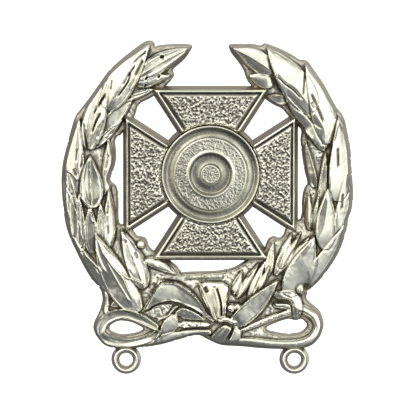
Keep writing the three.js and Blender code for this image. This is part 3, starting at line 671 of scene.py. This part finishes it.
def draw_leaves(relief):
    for leaf in LEFT_LEAVES + RIGHT_LEAVES:
        relief.leaf(*leaf)
    for stroke in LEFT_STROKES + RIGHT_STROKES:
        relief.ridge(*stroke)
    relief.dome(-6.62, -6.72, 0.42, 1.9)
    relief.dome(8.65, -11.05, 0.45, 2)


# ---- Ribbon bow ----


def draw_left_fold(relief):
    """The wide fold over the left loop, and the folds in its shade."""
    relief.panel([(-6.6, -13.5), (-4.9, -10.3), (-3.6, -10.2), (-2.4, -10.7), (-1.3, -11.6), (-0.3, -13.3),
                  (0.3, -14.4), (-1.3, -13.1), (-3.6, -12.1), (-5.2, -12.4)], 1.85, slope=(-0.02, 0.3))
    relief.panel([(-6.5, -13.5), (-5.2, -12.45), (-3.3, -12.25), (-4.2, -13.5), (-5.2, -14)], 1.25,
                 rough=0.1, seed=31, slope=(0, 0.1), lower=True)
    relief.panel([(-3.6, -13.3), (-2.7, -12.6), (-1.3, -13.2), (-0.2, -14.2), (-2.6, -14)], 1.35,
                 slope=(0, 0.35), rough=0.03, seed=33, lower=True)
    relief.panel([(-3.2, -14), (0.1, -14.2), (0.2, -14.7), (-3.1, -14.9)], 1.5, slope=(0, -0.3), rough=0.1,
                 seed=35, lower=True)
    relief.panel([(-4.8, -14.2), (-3.5, -13.2), (-3, -13.6), (-3, -14.9), (-5, -16.3)], 1.75,
                 slope=(-0.2, 0.1), swell=0.2, lower=True)


def draw_loops(relief):
    """The two loops of ribbon, their tails and the twigs beside them."""
    relief.band([(-0.2, -15.15), (-2.5, -15.35), (-5.3, -16.05), (-8.2, -16.6), (-10.2, -16.25)],
                (0.35, 0.45, 0.5, 0.45, 0.4), (1.7, 1.8, 1.9, 1.8, 1.7), round_off=0.35)
    relief.band([(-5.3, -14.6), (-7, -13.75), (-8.5, -13.4), (-9.9, -13.9), (-10.55, -14.9), (-10.2, -15.8),
                 (-8.2, -16.2), (-6.3, -15.9), (-5.1, -15.2)],
                (0.35, 0.5, 0.55, 0.55, 0.5, 0.5, 0.4, 0.4, 0.35),
                (1.95, 2, 1.95, 1.9, 1.9, 1.9, 1.9, 1.9, 1.9),
                round_off=-0.1, hollow=0.35, rims=(0.15, 0.2))
    relief.band([(0.2, -15.9), (3.5, -16.1), (7, -16.45), (9.3, -16.1), (10.35, -14.9), (10, -13.7),
                 (8.9, -13)], (0.4, 0.42, 0.45, 0.5, 0.5, 0.5, 0.5), (1.8, 1.85, 1.95, 2, 2, 1.95, 1.8),
                round_off=0.4)
    relief.band([(3.1, -14.9), (5.2, -14.1), (7.5, -13.3)], (0.25, 0.3, 0.35), (1.8, 1.9, 2), round_off=0.2)
    relief.roughen([(3, -15.2), (5.2, -14.4), (7.6, -13.7), (7.4, -12.9), (5, -13.8), (2.9, -14.6)],
                   0.18, 0.05, 41)
    relief.band([(6.3, -12.6), (7.4, -12.7), (8, -13.2)], (0.3, 0.35, 0.3), (1.6, 1.7, 1.6), round_off=0.2)
    relief.band([(6.4, -11.5), (7.6, -11.6), (8.25, -12.3), (8.25, -13.9)], (0.4, 0.5, 0.5, 0.35),
                (2, 2.2, 2.2, 2), round_off=0.15, rims=(0.2, 0))
    relief.ridge([(8.7, -11.6), (8.85, -12.4), (8.5, -13.4)], 0.1, 0.25)
    relief.band([(-9.9, -11.1), (-10, -12.2), (-10, -13.2)], (0.3, 0.3, 0.3), (1.8, 1.8, 1.8),
                round_off=0.2)
    relief.panel([(-9.8, -12.8), (-9.2, -11.9), (-8.2, -11.8), (-7.2, -12.5), (-6.9, -13.1), (-8.5, -12.9)],
                 1.6, slope=(0, 0.4))
    for path in (
        [(-9.9, -11.1), (-9.2, -10.95), (-8.3, -11.5)],
        [(-9.8, -12.7), (-9.1, -11.75), (-8.2, -11.65), (-7.5, -12.1)],
        [(-9.9, -13.2), (-8.8, -12.95), (-7, -13.1)],
    ):
        relief.ridge(path, 0.1, 0.35, taper=0.05)


def draw_fold_edges(relief):
    """The bright edges of the left fold, and the shadows under it."""
    for path, half, height in (
        ([(-6.75, -13.6), (-5.9, -12.1), (-5, -10.5), (-4.6, -10.25), (-3.5, -10.3), (-2.6, -10.8),
          (-1.5, -11.6), (-0.9, -12.3), (-0.3, -13.3), (0.4, -14.3)], 0.14, 0.45),
        ([(-6.3, -13.1), (-5.1, -12.4), (-3.6, -12.15), (-2.6, -12.5), (-1.3, -13), (-0.4, -13.9)],
         0.1, 0.2),
        ([(-2.95, -12.5), (-3.5, -12.9), (-4.1, -13.6), (-5, -14.05), (-4.9, -14.8), (-5.1, -15.5),
          (-5.8, -16.5)], 0.13, 0.45),
        ([(-3.4, -15.05), (-2, -14.85), (0, -14.85)], 0.1, -0.35),
        ([(-2.6, -10.15), (-1, -10.1), (0.7, -10.1), (1.4, -9.9)], 0.08, -0.3),
    ):
        relief.ridge(path, half, height, taper=0.04)


def draw_pleats(relief):
    """The pleated fan above the knot, and the berries."""
    relief.panel([(-1.2, -10.3), (1.75, -10.3), (1.7, -12.2), (1.5, -13.9), (0.6, -14.3), (-0.3, -13),
                  (-1, -11.6)], 1.85, slope=(0.17, 0))
    for path, half, height in (
        ([(-1.1, -10.3), (-0.6, -11.4), (0, -12.8), (0.45, -14.2)], 0.11, 0.4),
        ([(0.3, -10.7), (0.6, -11.6), (0.8, -12.6), (0.85, -13.8)], 0.14, 0.3),
        ([(0.6, -10.9), (0.98, -12.2), (1.05, -13.6)], 0.07, -0.4),
        ([(-1.5, -10.9), (-1.2, -11.3)], 0.15, -0.5),
        ([(-0.5, -10.8), (-0.3, -11.3)], 0.14, -0.5),
        ([(1.75, -11.3), (1.65, -12.4)], 0.08, -0.3),
    ):
        relief.ridge(path, half, height, taper=0.04)
    relief.dome(2.02, -12.75, 0.42, 2.3)
    relief.dome(2.6, -12.7, 0.36, 2.1)
    relief.dome(8.75, -11, 0.5, 2.2)


def draw_knot(relief):
    relief.band([(0.9, -14.05), (1.5, -13.85), (2.3, -14.2)], (0.2, 0.32, 0.28), (2.15, 2.3, 2.2),
                round_off=0.3)
    relief.panel([(1.3, -14.2), (2.2, -14.6), (1.8, -15.5), (1.3, -16.2), (0.2, -16.1), (-0.1, -15.7),
                  (0.6, -14.9)],
                 2.15, slope=(0.24, -0.16), swell=0.15)
    relief.panel([(2.3, -14.4), (2.9, -14.7), (3.1, -15.4), (2.6, -16.1), (1.6, -16.1), (1.9, -15.4)],
                 2.1, slope=(-0.28, -0.12), swell=0.15)
    relief.ridge([(2.15, -14.9), (1.75, -15.4), (1.4, -15.9)], 0.06, -0.35)
    relief.ridge([(1.2, -14.35), (0.6, -15), (-0.1, -15.7)], 0.15, 0.4, taper=0.1)


def draw_bow(relief):
    draw_left_fold(relief)
    draw_loops(relief)
    draw_fold_edges(relief)
    draw_pleats(relief)
    draw_knot(relief)


def wreath_pieces(material):
    """The two branches and the bow, which are struck as one relief and meet in soldered joints."""
    relief = Relief(wreath_outline, GROUND)
    x, z = relief.gx, relief.gz
    relief.h += 0.08 * grain(x, z, 0.28, 11) + 0.05 * grain(x, z, 0.15, 12)
    draw_bow(relief)
    draw_leaves(relief)
    silhouette = silhouette_distance(x, z)
    finish_relief(relief, silhouette)
    arm_side, arm_end = cross_distances(x, z)
    clear_of_cross = -np.minimum(arm_side, arm_end)
    in_left, in_right = inside_distance(left_outline, x, z), inside_distance(right_outline, x, z)
    near_bow = np.minimum(inside_distance(bow_outline, x, z) + 0.4, inside_distance(wreath_outline, x, z))
    in_bow = np.minimum(near_bow, -np.maximum(in_left, in_right) - SOLDER)
    for name, inside, node in (
        ("branch_left", in_left, "wreath_branch_left"),
        ("branch_right", in_right, "wreath_branch_right"),
        ("ribbon", in_bow, "ribbon_bow"),
    ):
        region = np.minimum(inside, clear_of_cross)
        for hole in holes:
            region = np.minimum(region, -inside_distance(hole, x, z))
        mesh, front = relief_mesh(name, relief, region, silhouette, WREATH_BACK, hollow=0.8)
        add_relief_values(mesh, front, relief, silhouette, contrast=1.6, back_tone=0.42)
        add_piece(name, mesh, material, [node])


# ---- Cross and target ----


# The raised rim of an arm and the groove inside it: distance from the edge, and height.
RIM = [(0, 1.48), (0.14, 1.55), (0.18, 1.53), (0.27, 1.27), (0.34, 1.25), (0.6, 1.38), (0.68, 1.38)]


def cross_piece(material):
    reach = CROSS_HALF + DRAFT
    relief = Relief([(-reach, -reach), (reach, reach)], 0.0)
    x, z = relief.gx, relief.gz
    side, end = cross_distances(x, z)
    radius = np.hypot(x, z)
    edge = soft_min(side, np.where(np.abs(x) > np.abs(z), 1.35, 1.0) * end, 0.05)
    field = np.clip((edge - 0.6) / 0.06, 0, 1)
    speckle = 1.2 * grain(x, z, 0.14, 51) + 1.2 * grain(x, z, 0.09, 52)
    arm = np.interp(edge, *zip(*RIM)) + 0.06 * field * np.clip(speckle, -1, 1)
    arm -= 0.2 * np.exp(-((radius - (TARGET + 0.13)) / 0.09) ** 2)  # groove round the target
    wall = WALL + np.minimum(side, end) * WALL / DRAFT
    hub = np.clip((HUB - radius) * WALL / DRAFT, 0, 1.3)
    relief.h = np.maximum(np.minimum(arm, wall), hub)
    relief.h = np.where(radius < TARGET + 0.06, SEAT, relief.h)
    relief.h = blurred(np.maximum(relief.h, 0), 1)
    region = cross_region(x, z)
    mesh, front = relief_mesh("cross_body", relief, region, region, base=0.0, hollow=0.0)
    add_relief_values(mesh, front, relief, region, contrast=2.4, back_tone=0.62)
    add_piece("cross_body", mesh, material, ["cross"])


def turned_faces(sides, count, steps):
    """Faces between neighbouring copies of a profile with count points, of which so many steps are joined."""
    return [(k * count + i, (k + 1) % sides * count + i, (k + 1) % sides * count + (i + 1) % count,
             k * count + (i + 1) % count) for k in range(sides) for i in range(steps)]


def target_piece(material):
    outline = [(0.0, 1.64), (0.72, 1.64), (0.8, 1.7), (0.87, 1.66), (1.0, 1.5), (1.15, 1.4), (1.5, 1.34),
               (1.84, 1.36), (1.98, 1.6), (2.06, 1.78), (2.13, 1.83), (2.2, 1.78), (2.26, 1.7), (3.28, 1.66),
               (3.36, 1.71), (3.44, 1.64), (3.65, 1.46), (3.9, 1.38), (4.2, 1.4), (4.38, 1.6), (4.48, 1.86),
               (4.55, 1.95), (4.61, 1.9), (TARGET, 1.8), (TARGET, 1.4), (TARGET, TARGET_BACK)]
    profile = []
    for (r0, h0), (r1, h1) in zip(outline[:-1], outline[1:]):
        steps = max(1, int(math.hypot(r1 - r0, h1 - h0) / 0.06))
        for k in range(steps):
            t = k / steps
            profile.append((r0 + (r1 - r0) * t, h0 + (h1 - h0) * t))
    profile.append(outline[-1])
    heights = [h for _, h in profile]
    for _ in range(2):
        heights = [heights[0]] + [(heights[i - 1] + 2 * heights[i] + heights[i + 1]) / 4
                                  for i in range(1, len(heights) - 1)] + [heights[-1]]
    profile = [(r, h) for (r, _), h in zip(profile, heights)]
    profile.append((0.0, TARGET_BACK))
    sides = 360
    radii = np.array([r for r, _ in profile])
    angles = np.linspace(0, 2 * math.pi, sides, endpoint=False)
    x = np.cos(angles)[:, None] * radii[None, :]
    z = np.sin(angles)[:, None] * radii[None, :]
    r = np.repeat(radii[None, :], sides, axis=0)
    speckled = 0.014 * (((r > 2.28) & (r < 3.3)) | (r < 0.74)) + 0.004
    lift = speckled * (grain(x, z, 0.13, 61) + grain(x, z, 0.08, 62))
    h = np.array([h for _, h in profile])[None, :] + lift
    h[:, 0] = profile[0][1]
    h[:, -2:] = TARGET_BACK
    vertices = np.stack([x * MM, -h * MM, z * MM], axis=2).reshape(-1, 3).tolist()
    mesh = new_mesh("target", vertices, turned_faces(sides, len(profile), len(profile) - 1))
    merge_doubles(mesh)
    co = vertex_places(mesh)
    # Brighter the higher the surface stands: polish from wear and painted highlight on the raised rings,
    # darker lower down.
    add_values(mesh, "stands_out", np.clip(0.6 + 0.5 * (-co[:, 1] - 1.6), 0, 1))
    # Painted shade on the target's outer side, below its rim.
    add_values(mesh, "wall", np.clip((1.35 + co[:, 1]) / 0.1, 0, 1) * (np.hypot(co[:, 0], co[:, 2]) > 4.4))
    add_piece("target", mesh, material, ["target_disc"])


def merge_doubles(mesh):
    """Closes the target at its centre, where the first and the last points of all the profiles meet."""
    distance = 1e-7
    bm = bmesh.new()
    bm.from_mesh(mesh)
    bmesh.ops.remove_doubles(bm, verts=bm.verts, dist=distance)
    bmesh.ops.dissolve_degenerate(bm, edges=bm.edges, dist=distance)
    bmesh.ops.recalc_face_normals(bm, faces=bm.faces)
    bm.to_mesh(mesh)
    bm.free()


def eyelet_piece(side, material):
    name = "eyelet_ring_" + side
    low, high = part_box("eyelet_" + side)
    centre = ((low.x + high.x) / 2 / MM, low.z / MM + EYELET)
    profile = curve_points([(0.64, 0.0), (0.65, 0.5), (0.74, 0.85), (0.9, 1.04), (1.05, 1.1), (1.2, 0.98),
                            (1.31, 0.72), (1.4, 0.35), (1.44, 0)], 5).tolist()
    sides = 96
    vertices = [((centre[0] + r * math.cos(angle)) * MM, -h * MM, (centre[1] + r * math.sin(angle)) * MM)
                for angle in (2 * math.pi * k / sides for k in range(sides)) for r, h in profile]
    mesh = new_mesh(name, vertices, turned_faces(sides, len(profile), len(profile)))
    co = vertex_places(mesh)
    r = np.hypot(co[:, 0] - centre[0], co[:, 2] - centre[1])
    # Brighter the higher the ring stands: polish from wear and painted highlight on its ridge, darker towards
    # its foot.
    add_values(mesh, "stands_out", np.clip(0.3 - 0.5 * co[:, 1], 0, 1))
    # Painted shade: full in the bore, and at 0.6 on the outer side of the ring.
    bore = np.clip((0.98 - r) / 0.15, 0, 1)
    outside = 0.6 * np.clip((r - 1.25) / 0.1, 0, 1)
    add_values(mesh, "wall", np.maximum(bore, outside))
    add_piece(name, mesh, material, ["eyelet_" + side])


# ---- Materials ----


def new_material(name):
    material = bpy.data.materials.new(name)
    material.use_nodes = True
    nodes = material.node_tree.nodes
    return material, nodes, material.node_tree.links, nodes["Principled BSDF"]


def noise_node(nodes, links, coordinates, scale, detail=4):
    node = nodes.new("ShaderNodeTexNoise")
    node.inputs["Scale"].default_value = scale
    node.inputs["Detail"].default_value = detail
    links.new(coordinates, node.inputs["Vector"])
    return node.outputs["Fac"]


def math_node(nodes, links, operation, a, b):
    node = nodes.new("ShaderNodeMath")
    node.operation = operation
    for socket, value in zip(node.inputs, (a, b)):
        if isinstance(value, (int, float)):
            socket.default_value = value
        else:
            links.new(value, socket)
    return node.outputs[0]


def ramp_node(nodes, links, value, stops):
    node = nodes.new("ShaderNodeValToRGB")
    ramp = node.color_ramp
    while len(ramp.elements) < len(stops):
        ramp.elements.new(0.5)
    for element, (position, colour) in zip(ramp.elements, stops):
        element.position = position
        element.color = (*colour, 1)
    links.new(value, node.inputs["Fac"])
    return node.outputs["Color"]


def bump_node(nodes, links, value, strength, distance):
    node = nodes.new("ShaderNodeBump")
    node.inputs["Strength"].default_value = strength
    node.inputs["Distance"].default_value = distance
    links.new(value, node.inputs["Height"])
    return node.outputs["Normal"]


def mixed(nodes, links, share, a, b):
    node = nodes.new("ShaderNodeMix")
    node.data_type = "RGBA"
    links.new(share, node.inputs["Factor"])
    for socket, value in zip((node.inputs[6], node.inputs[7]), (a, b)):
        if isinstance(value, tuple):
            socket.default_value = (*value, 1)
        else:
            links.new(value, socket)
    return node.outputs[2]


def attribute_node(nodes, name):
    node = nodes.new("ShaderNodeAttribute")
    node.attribute_name = name
    return node.outputs["Fac"]


def silvered(name, dark, middle, bright, wall):
    """Antique silvering: patina dark in recesses, polish from wear and painted highlight where the relief
    stands out, and painted shade, brownish, on the walls.
    """
    material, nodes, links, shader = new_material(name)
    coordinates = nodes.new("ShaderNodeTexCoord").outputs["Object"]
    patches = noise_node(nodes, links, coordinates, 700)
    fine = noise_node(nodes, links, coordinates, 6000, 6)
    blotch = math_node(nodes, links, "MULTIPLY", math_node(nodes, links, "SUBTRACT", patches, 0.5), 0.3)
    wear_patina_and_painted_highlight = math_node(nodes, links, "ADD", attribute_node(nodes, "stands_out"), blotch)
    # Tone from how far the relief stands out: the dark stop is patina in the hollows, and the bright stop is
    # polish from wear and painted highlight on the crests.
    tone = ramp_node(nodes, links, wear_patina_and_painted_highlight, [(0.05, dark), (0.4, middle), (0.85, bright)])
    # The wall colour is painted shade on the steep side walls, mixed over the tone.
    on_wall = attribute_node(nodes, "wall")
    links.new(mixed(nodes, links, on_wall, tone, wall), shader.inputs["Base Color"])
    rough = ramp_node(nodes, links, wear_patina_and_painted_highlight, [(0.1, (0.42,) * 3), (0.8, (0.2,) * 3)])
    links.new(mixed(nodes, links, on_wall, rough, (0.5, 0.5, 0.5)), shader.inputs["Roughness"])
    links.new(bump_node(nodes, links, fine, 0.35, 0.00003), shader.inputs["Normal"])
    shader.inputs["Metallic"].default_value = 1.0
    return material


def plain_metal(name, dark, bright, scale, stretch, roughness):
    """Drawn or stamped metal: fine lines along one direction and a little tarnish."""
    material, nodes, links, shader = new_material(name)
    coordinates = nodes.new("ShaderNodeTexCoord").outputs["Object"]
    mapping = nodes.new("ShaderNodeMapping")
    mapping.inputs["Scale"].default_value = stretch
    links.new(coordinates, mapping.inputs["Vector"])
    lines = noise_node(nodes, links, mapping.outputs["Vector"], scale, 5)
    tarnish = noise_node(nodes, links, coordinates, 900)
    links.new(ramp_node(nodes, links, tarnish, [(0.3, dark), (0.65, bright)]), shader.inputs["Base Color"])
    low, high = roughness
    rough = ramp_node(nodes, links, lines, [(0.3, (low,) * 3), (0.7, (high,) * 3)])
    links.new(rough, shader.inputs["Roughness"])
    links.new(bump_node(nodes, links, lines, 0.25, 0.00002), shader.inputs["Normal"])
    shader.inputs["Metallic"].default_value = 1.0
    return material


# ---- Stage ----


def stage_material():
    material, nodes, links, shader = new_material("pale_paper")
    coordinates = nodes.new("ShaderNodeTexCoord").outputs["Object"]
    fibre = noise_node(nodes, links, coordinates, 40)
    links.new(ramp_node(nodes, links, fibre, [(0.3, (0.93, 0.93, 0.93)), (0.7, (0.97, 0.97, 0.97))]),
              shader.inputs["Base Color"])
    shader.inputs["Roughness"].default_value = 0.9
    shader.inputs["Emission Color"].default_value = (1, 1, 1, 1)
    shader.inputs["Emission Strength"].default_value = 0.75
    return material


def build_stage():
    """A pale floor that curves up into a round wall."""
    floor = cad_low.z - 0.02
    profile = [(0.0, 0.0), (0.5, 0.0), (0.9, 0.0)]
    profile += [(0.9 + 0.5 * math.sin(a), 0.5 - 0.5 * math.cos(a)) for a in np.linspace(0.1, math.pi / 2, 14)]
    profile += [(1.4, 2.4)]
    sides = 96
    vertices = [(r * math.cos(2 * math.pi * k / sides), r * math.sin(2 * math.pi * k / sides), floor + h)
                for k in range(sides) for r, h in profile]
    count = len(profile)
    faces = [(k * count + i, k * count + i + 1, (k + 1) % sides * count + i + 1, (k + 1) % sides * count + i)
             for k in range(sides) for i in range(count - 1)]
    stage = add_smooth("stage", new_mesh("stage", vertices, faces), stage_material())
    stage.visible_glossy = False
    stage.visible_diffuse = False


def softbox(name, place, power):
    """A square area light aimed at the badge."""
    light = bpy.data.lights.new(name, "AREA")
    light.size = 0.3
    light.energy = power
    holder = add_object(name, light)
    holder.location = place
    holder.rotation_mode = "QUATERNION"
    holder.rotation_quaternion = (-Vector(place)).to_track_quat("-Z", "Y")


def glow(nodes, links, direction, toward, inner, outer, colour):
    """A round patch of light in the sky: full inside one angle and gone beyond another, in degrees."""
    dot = nodes.new("ShaderNodeVectorMath")
    dot.operation = "DOT_PRODUCT"
    links.new(direction, dot.inputs[0])
    dot.inputs[1].default_value = Vector(toward).normalized()
    fade = nodes.new("ShaderNodeMapRange")
    fade.interpolation_type = "SMOOTHSTEP"
    fade.inputs["From Min"].default_value = math.cos(math.radians(outer))
    fade.inputs["From Max"].default_value = math.cos(math.radians(inner))
    links.new(dot.outputs["Value"], fade.inputs["Value"])
    tint = nodes.new("ShaderNodeVectorMath")
    tint.operation = "SCALE"
    tint.inputs[0].default_value = colour
    links.new(fade.outputs["Result"], tint.inputs["Scale"])
    return tint.outputs["Vector"]


def light_scene():
    """A grey studio with broad soft lights in front, to the left, to the right and above."""
    world = bpy.data.worlds.new("studio")
    bpy.context.scene.world = world
    world.use_nodes = True
    nodes, links = world.node_tree.nodes, world.node_tree.links
    direction = nodes.new("ShaderNodeTexCoord").outputs["Generated"]
    split = nodes.new("ShaderNodeSeparateXYZ")
    links.new(direction, split.inputs[0])
    height = math_node(nodes, links, "ADD", split.outputs["Z"], 0.5)
    greys = [(0.1, (0.16, 0.165, 0.17)), (0.6, (0.2, 0.2, 0.195)), (1.0, (0.34, 0.34, 0.325))]
    total = ramp_node(nodes, links, height, greys)
    for patch in (
        ((-0.68, -0.63, 0.42), 27, 45, (1.38, 1.33, 1.15)),
        ((0.58, -0.79, 0.2), 18, 47, (1.15, 1.16, 1.05)),
        ((0.5, -0.72, -0.42), 12, 40, (0.36, 0.37, 0.37)),
        ((0, -0.55, 0.85), 16, 36, (0.7, 0.7, 0.65)),
        ((0.3, 0.9, 0.4), 25, 60, (0.6, 0.6, 0.58)),
    ):
        add = nodes.new("ShaderNodeVectorMath")
        links.new(total, add.inputs[0])
        links.new(glow(nodes, links, direction, *patch), add.inputs[1])
        total = add.outputs["Vector"]
    links.new(total, nodes["Background"].inputs["Color"])
    softbox("key", (-0.5, -0.75, 0.6), 0.9)
    softbox("fill", (0.6, -0.7, 0.25), 0.6)


def place_camera():
    """Nearly square on to the badge, a little above it, as far away as a long lens needs."""
    elevation = math.radians(5)
    distance = 0.27
    width = 0.0396  # of the view at the badge
    centre = Vector(((cad_low.x + cad_high.x) / 2 + 0.00005, -0.0015, (cad_low.z + cad_high.z) / 2 + 0.0001))
    data = bpy.data.cameras.new("camera")
    data.sensor_width = 36
    data.lens = 36 * distance / width
    data.clip_start = 0.01
    camera = add_object("camera", data)
    back = Vector((0, -math.cos(elevation), math.sin(elevation)))
    camera.location = centre + back * distance
    camera.rotation_mode = "QUATERNION"
    camera.rotation_quaternion = (-back).to_track_quat("-Z", "Y")
    bpy.context.scene.camera = camera


# ---- The badge ----

# In both silverings the bright colour is also painted highlight on the crests, and the wall colour is painted
# shade on the side walls.
wreath_metal = silvered("silvered_wreath", dark=(0.16, 0.15, 0.125), middle=(0.66, 0.66, 0.59),
                        bright=(0.93, 0.93, 0.83), wall=(0.5, 0.47, 0.4))
cross_metal = silvered("silvered_cross", dark=(0.05, 0.045, 0.04), middle=(0.2, 0.195, 0.165),
                       bright=(0.95, 0.95, 0.84), wall=(0.38, 0.34, 0.28))
wreath_pieces(wreath_metal)
cross_piece(cross_metal)
target_piece(cross_metal)
for side in ("left", "right"):
    eyelet_piece(side, wreath_metal)

fittings = plain_metal("silvered_fitting", dark=(0.42, 0.41, 0.36), bright=(0.7, 0.69, 0.62),
                       scale=2500, stretch=(1, 1, 1), roughness=(0.28, 0.5))
wire = plain_metal("drawn_steel", dark=(0.5, 0.5, 0.5), bright=(0.72, 0.72, 0.72),
                   scale=3000, stretch=(0.05, 1, 1), roughness=(0.2, 0.4))
for node in ("pin_joint", "hinge_rivet", "catch_housing", "catch_rotor", "pin_stem"):
    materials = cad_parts[node].data.materials
    materials.clear()
    materials.append(wire if node == "pin_stem" else fittings)

build_stage()
light_scene()
place_camera()
bpy.context.scene.view_settings.view_transform = "Standard"
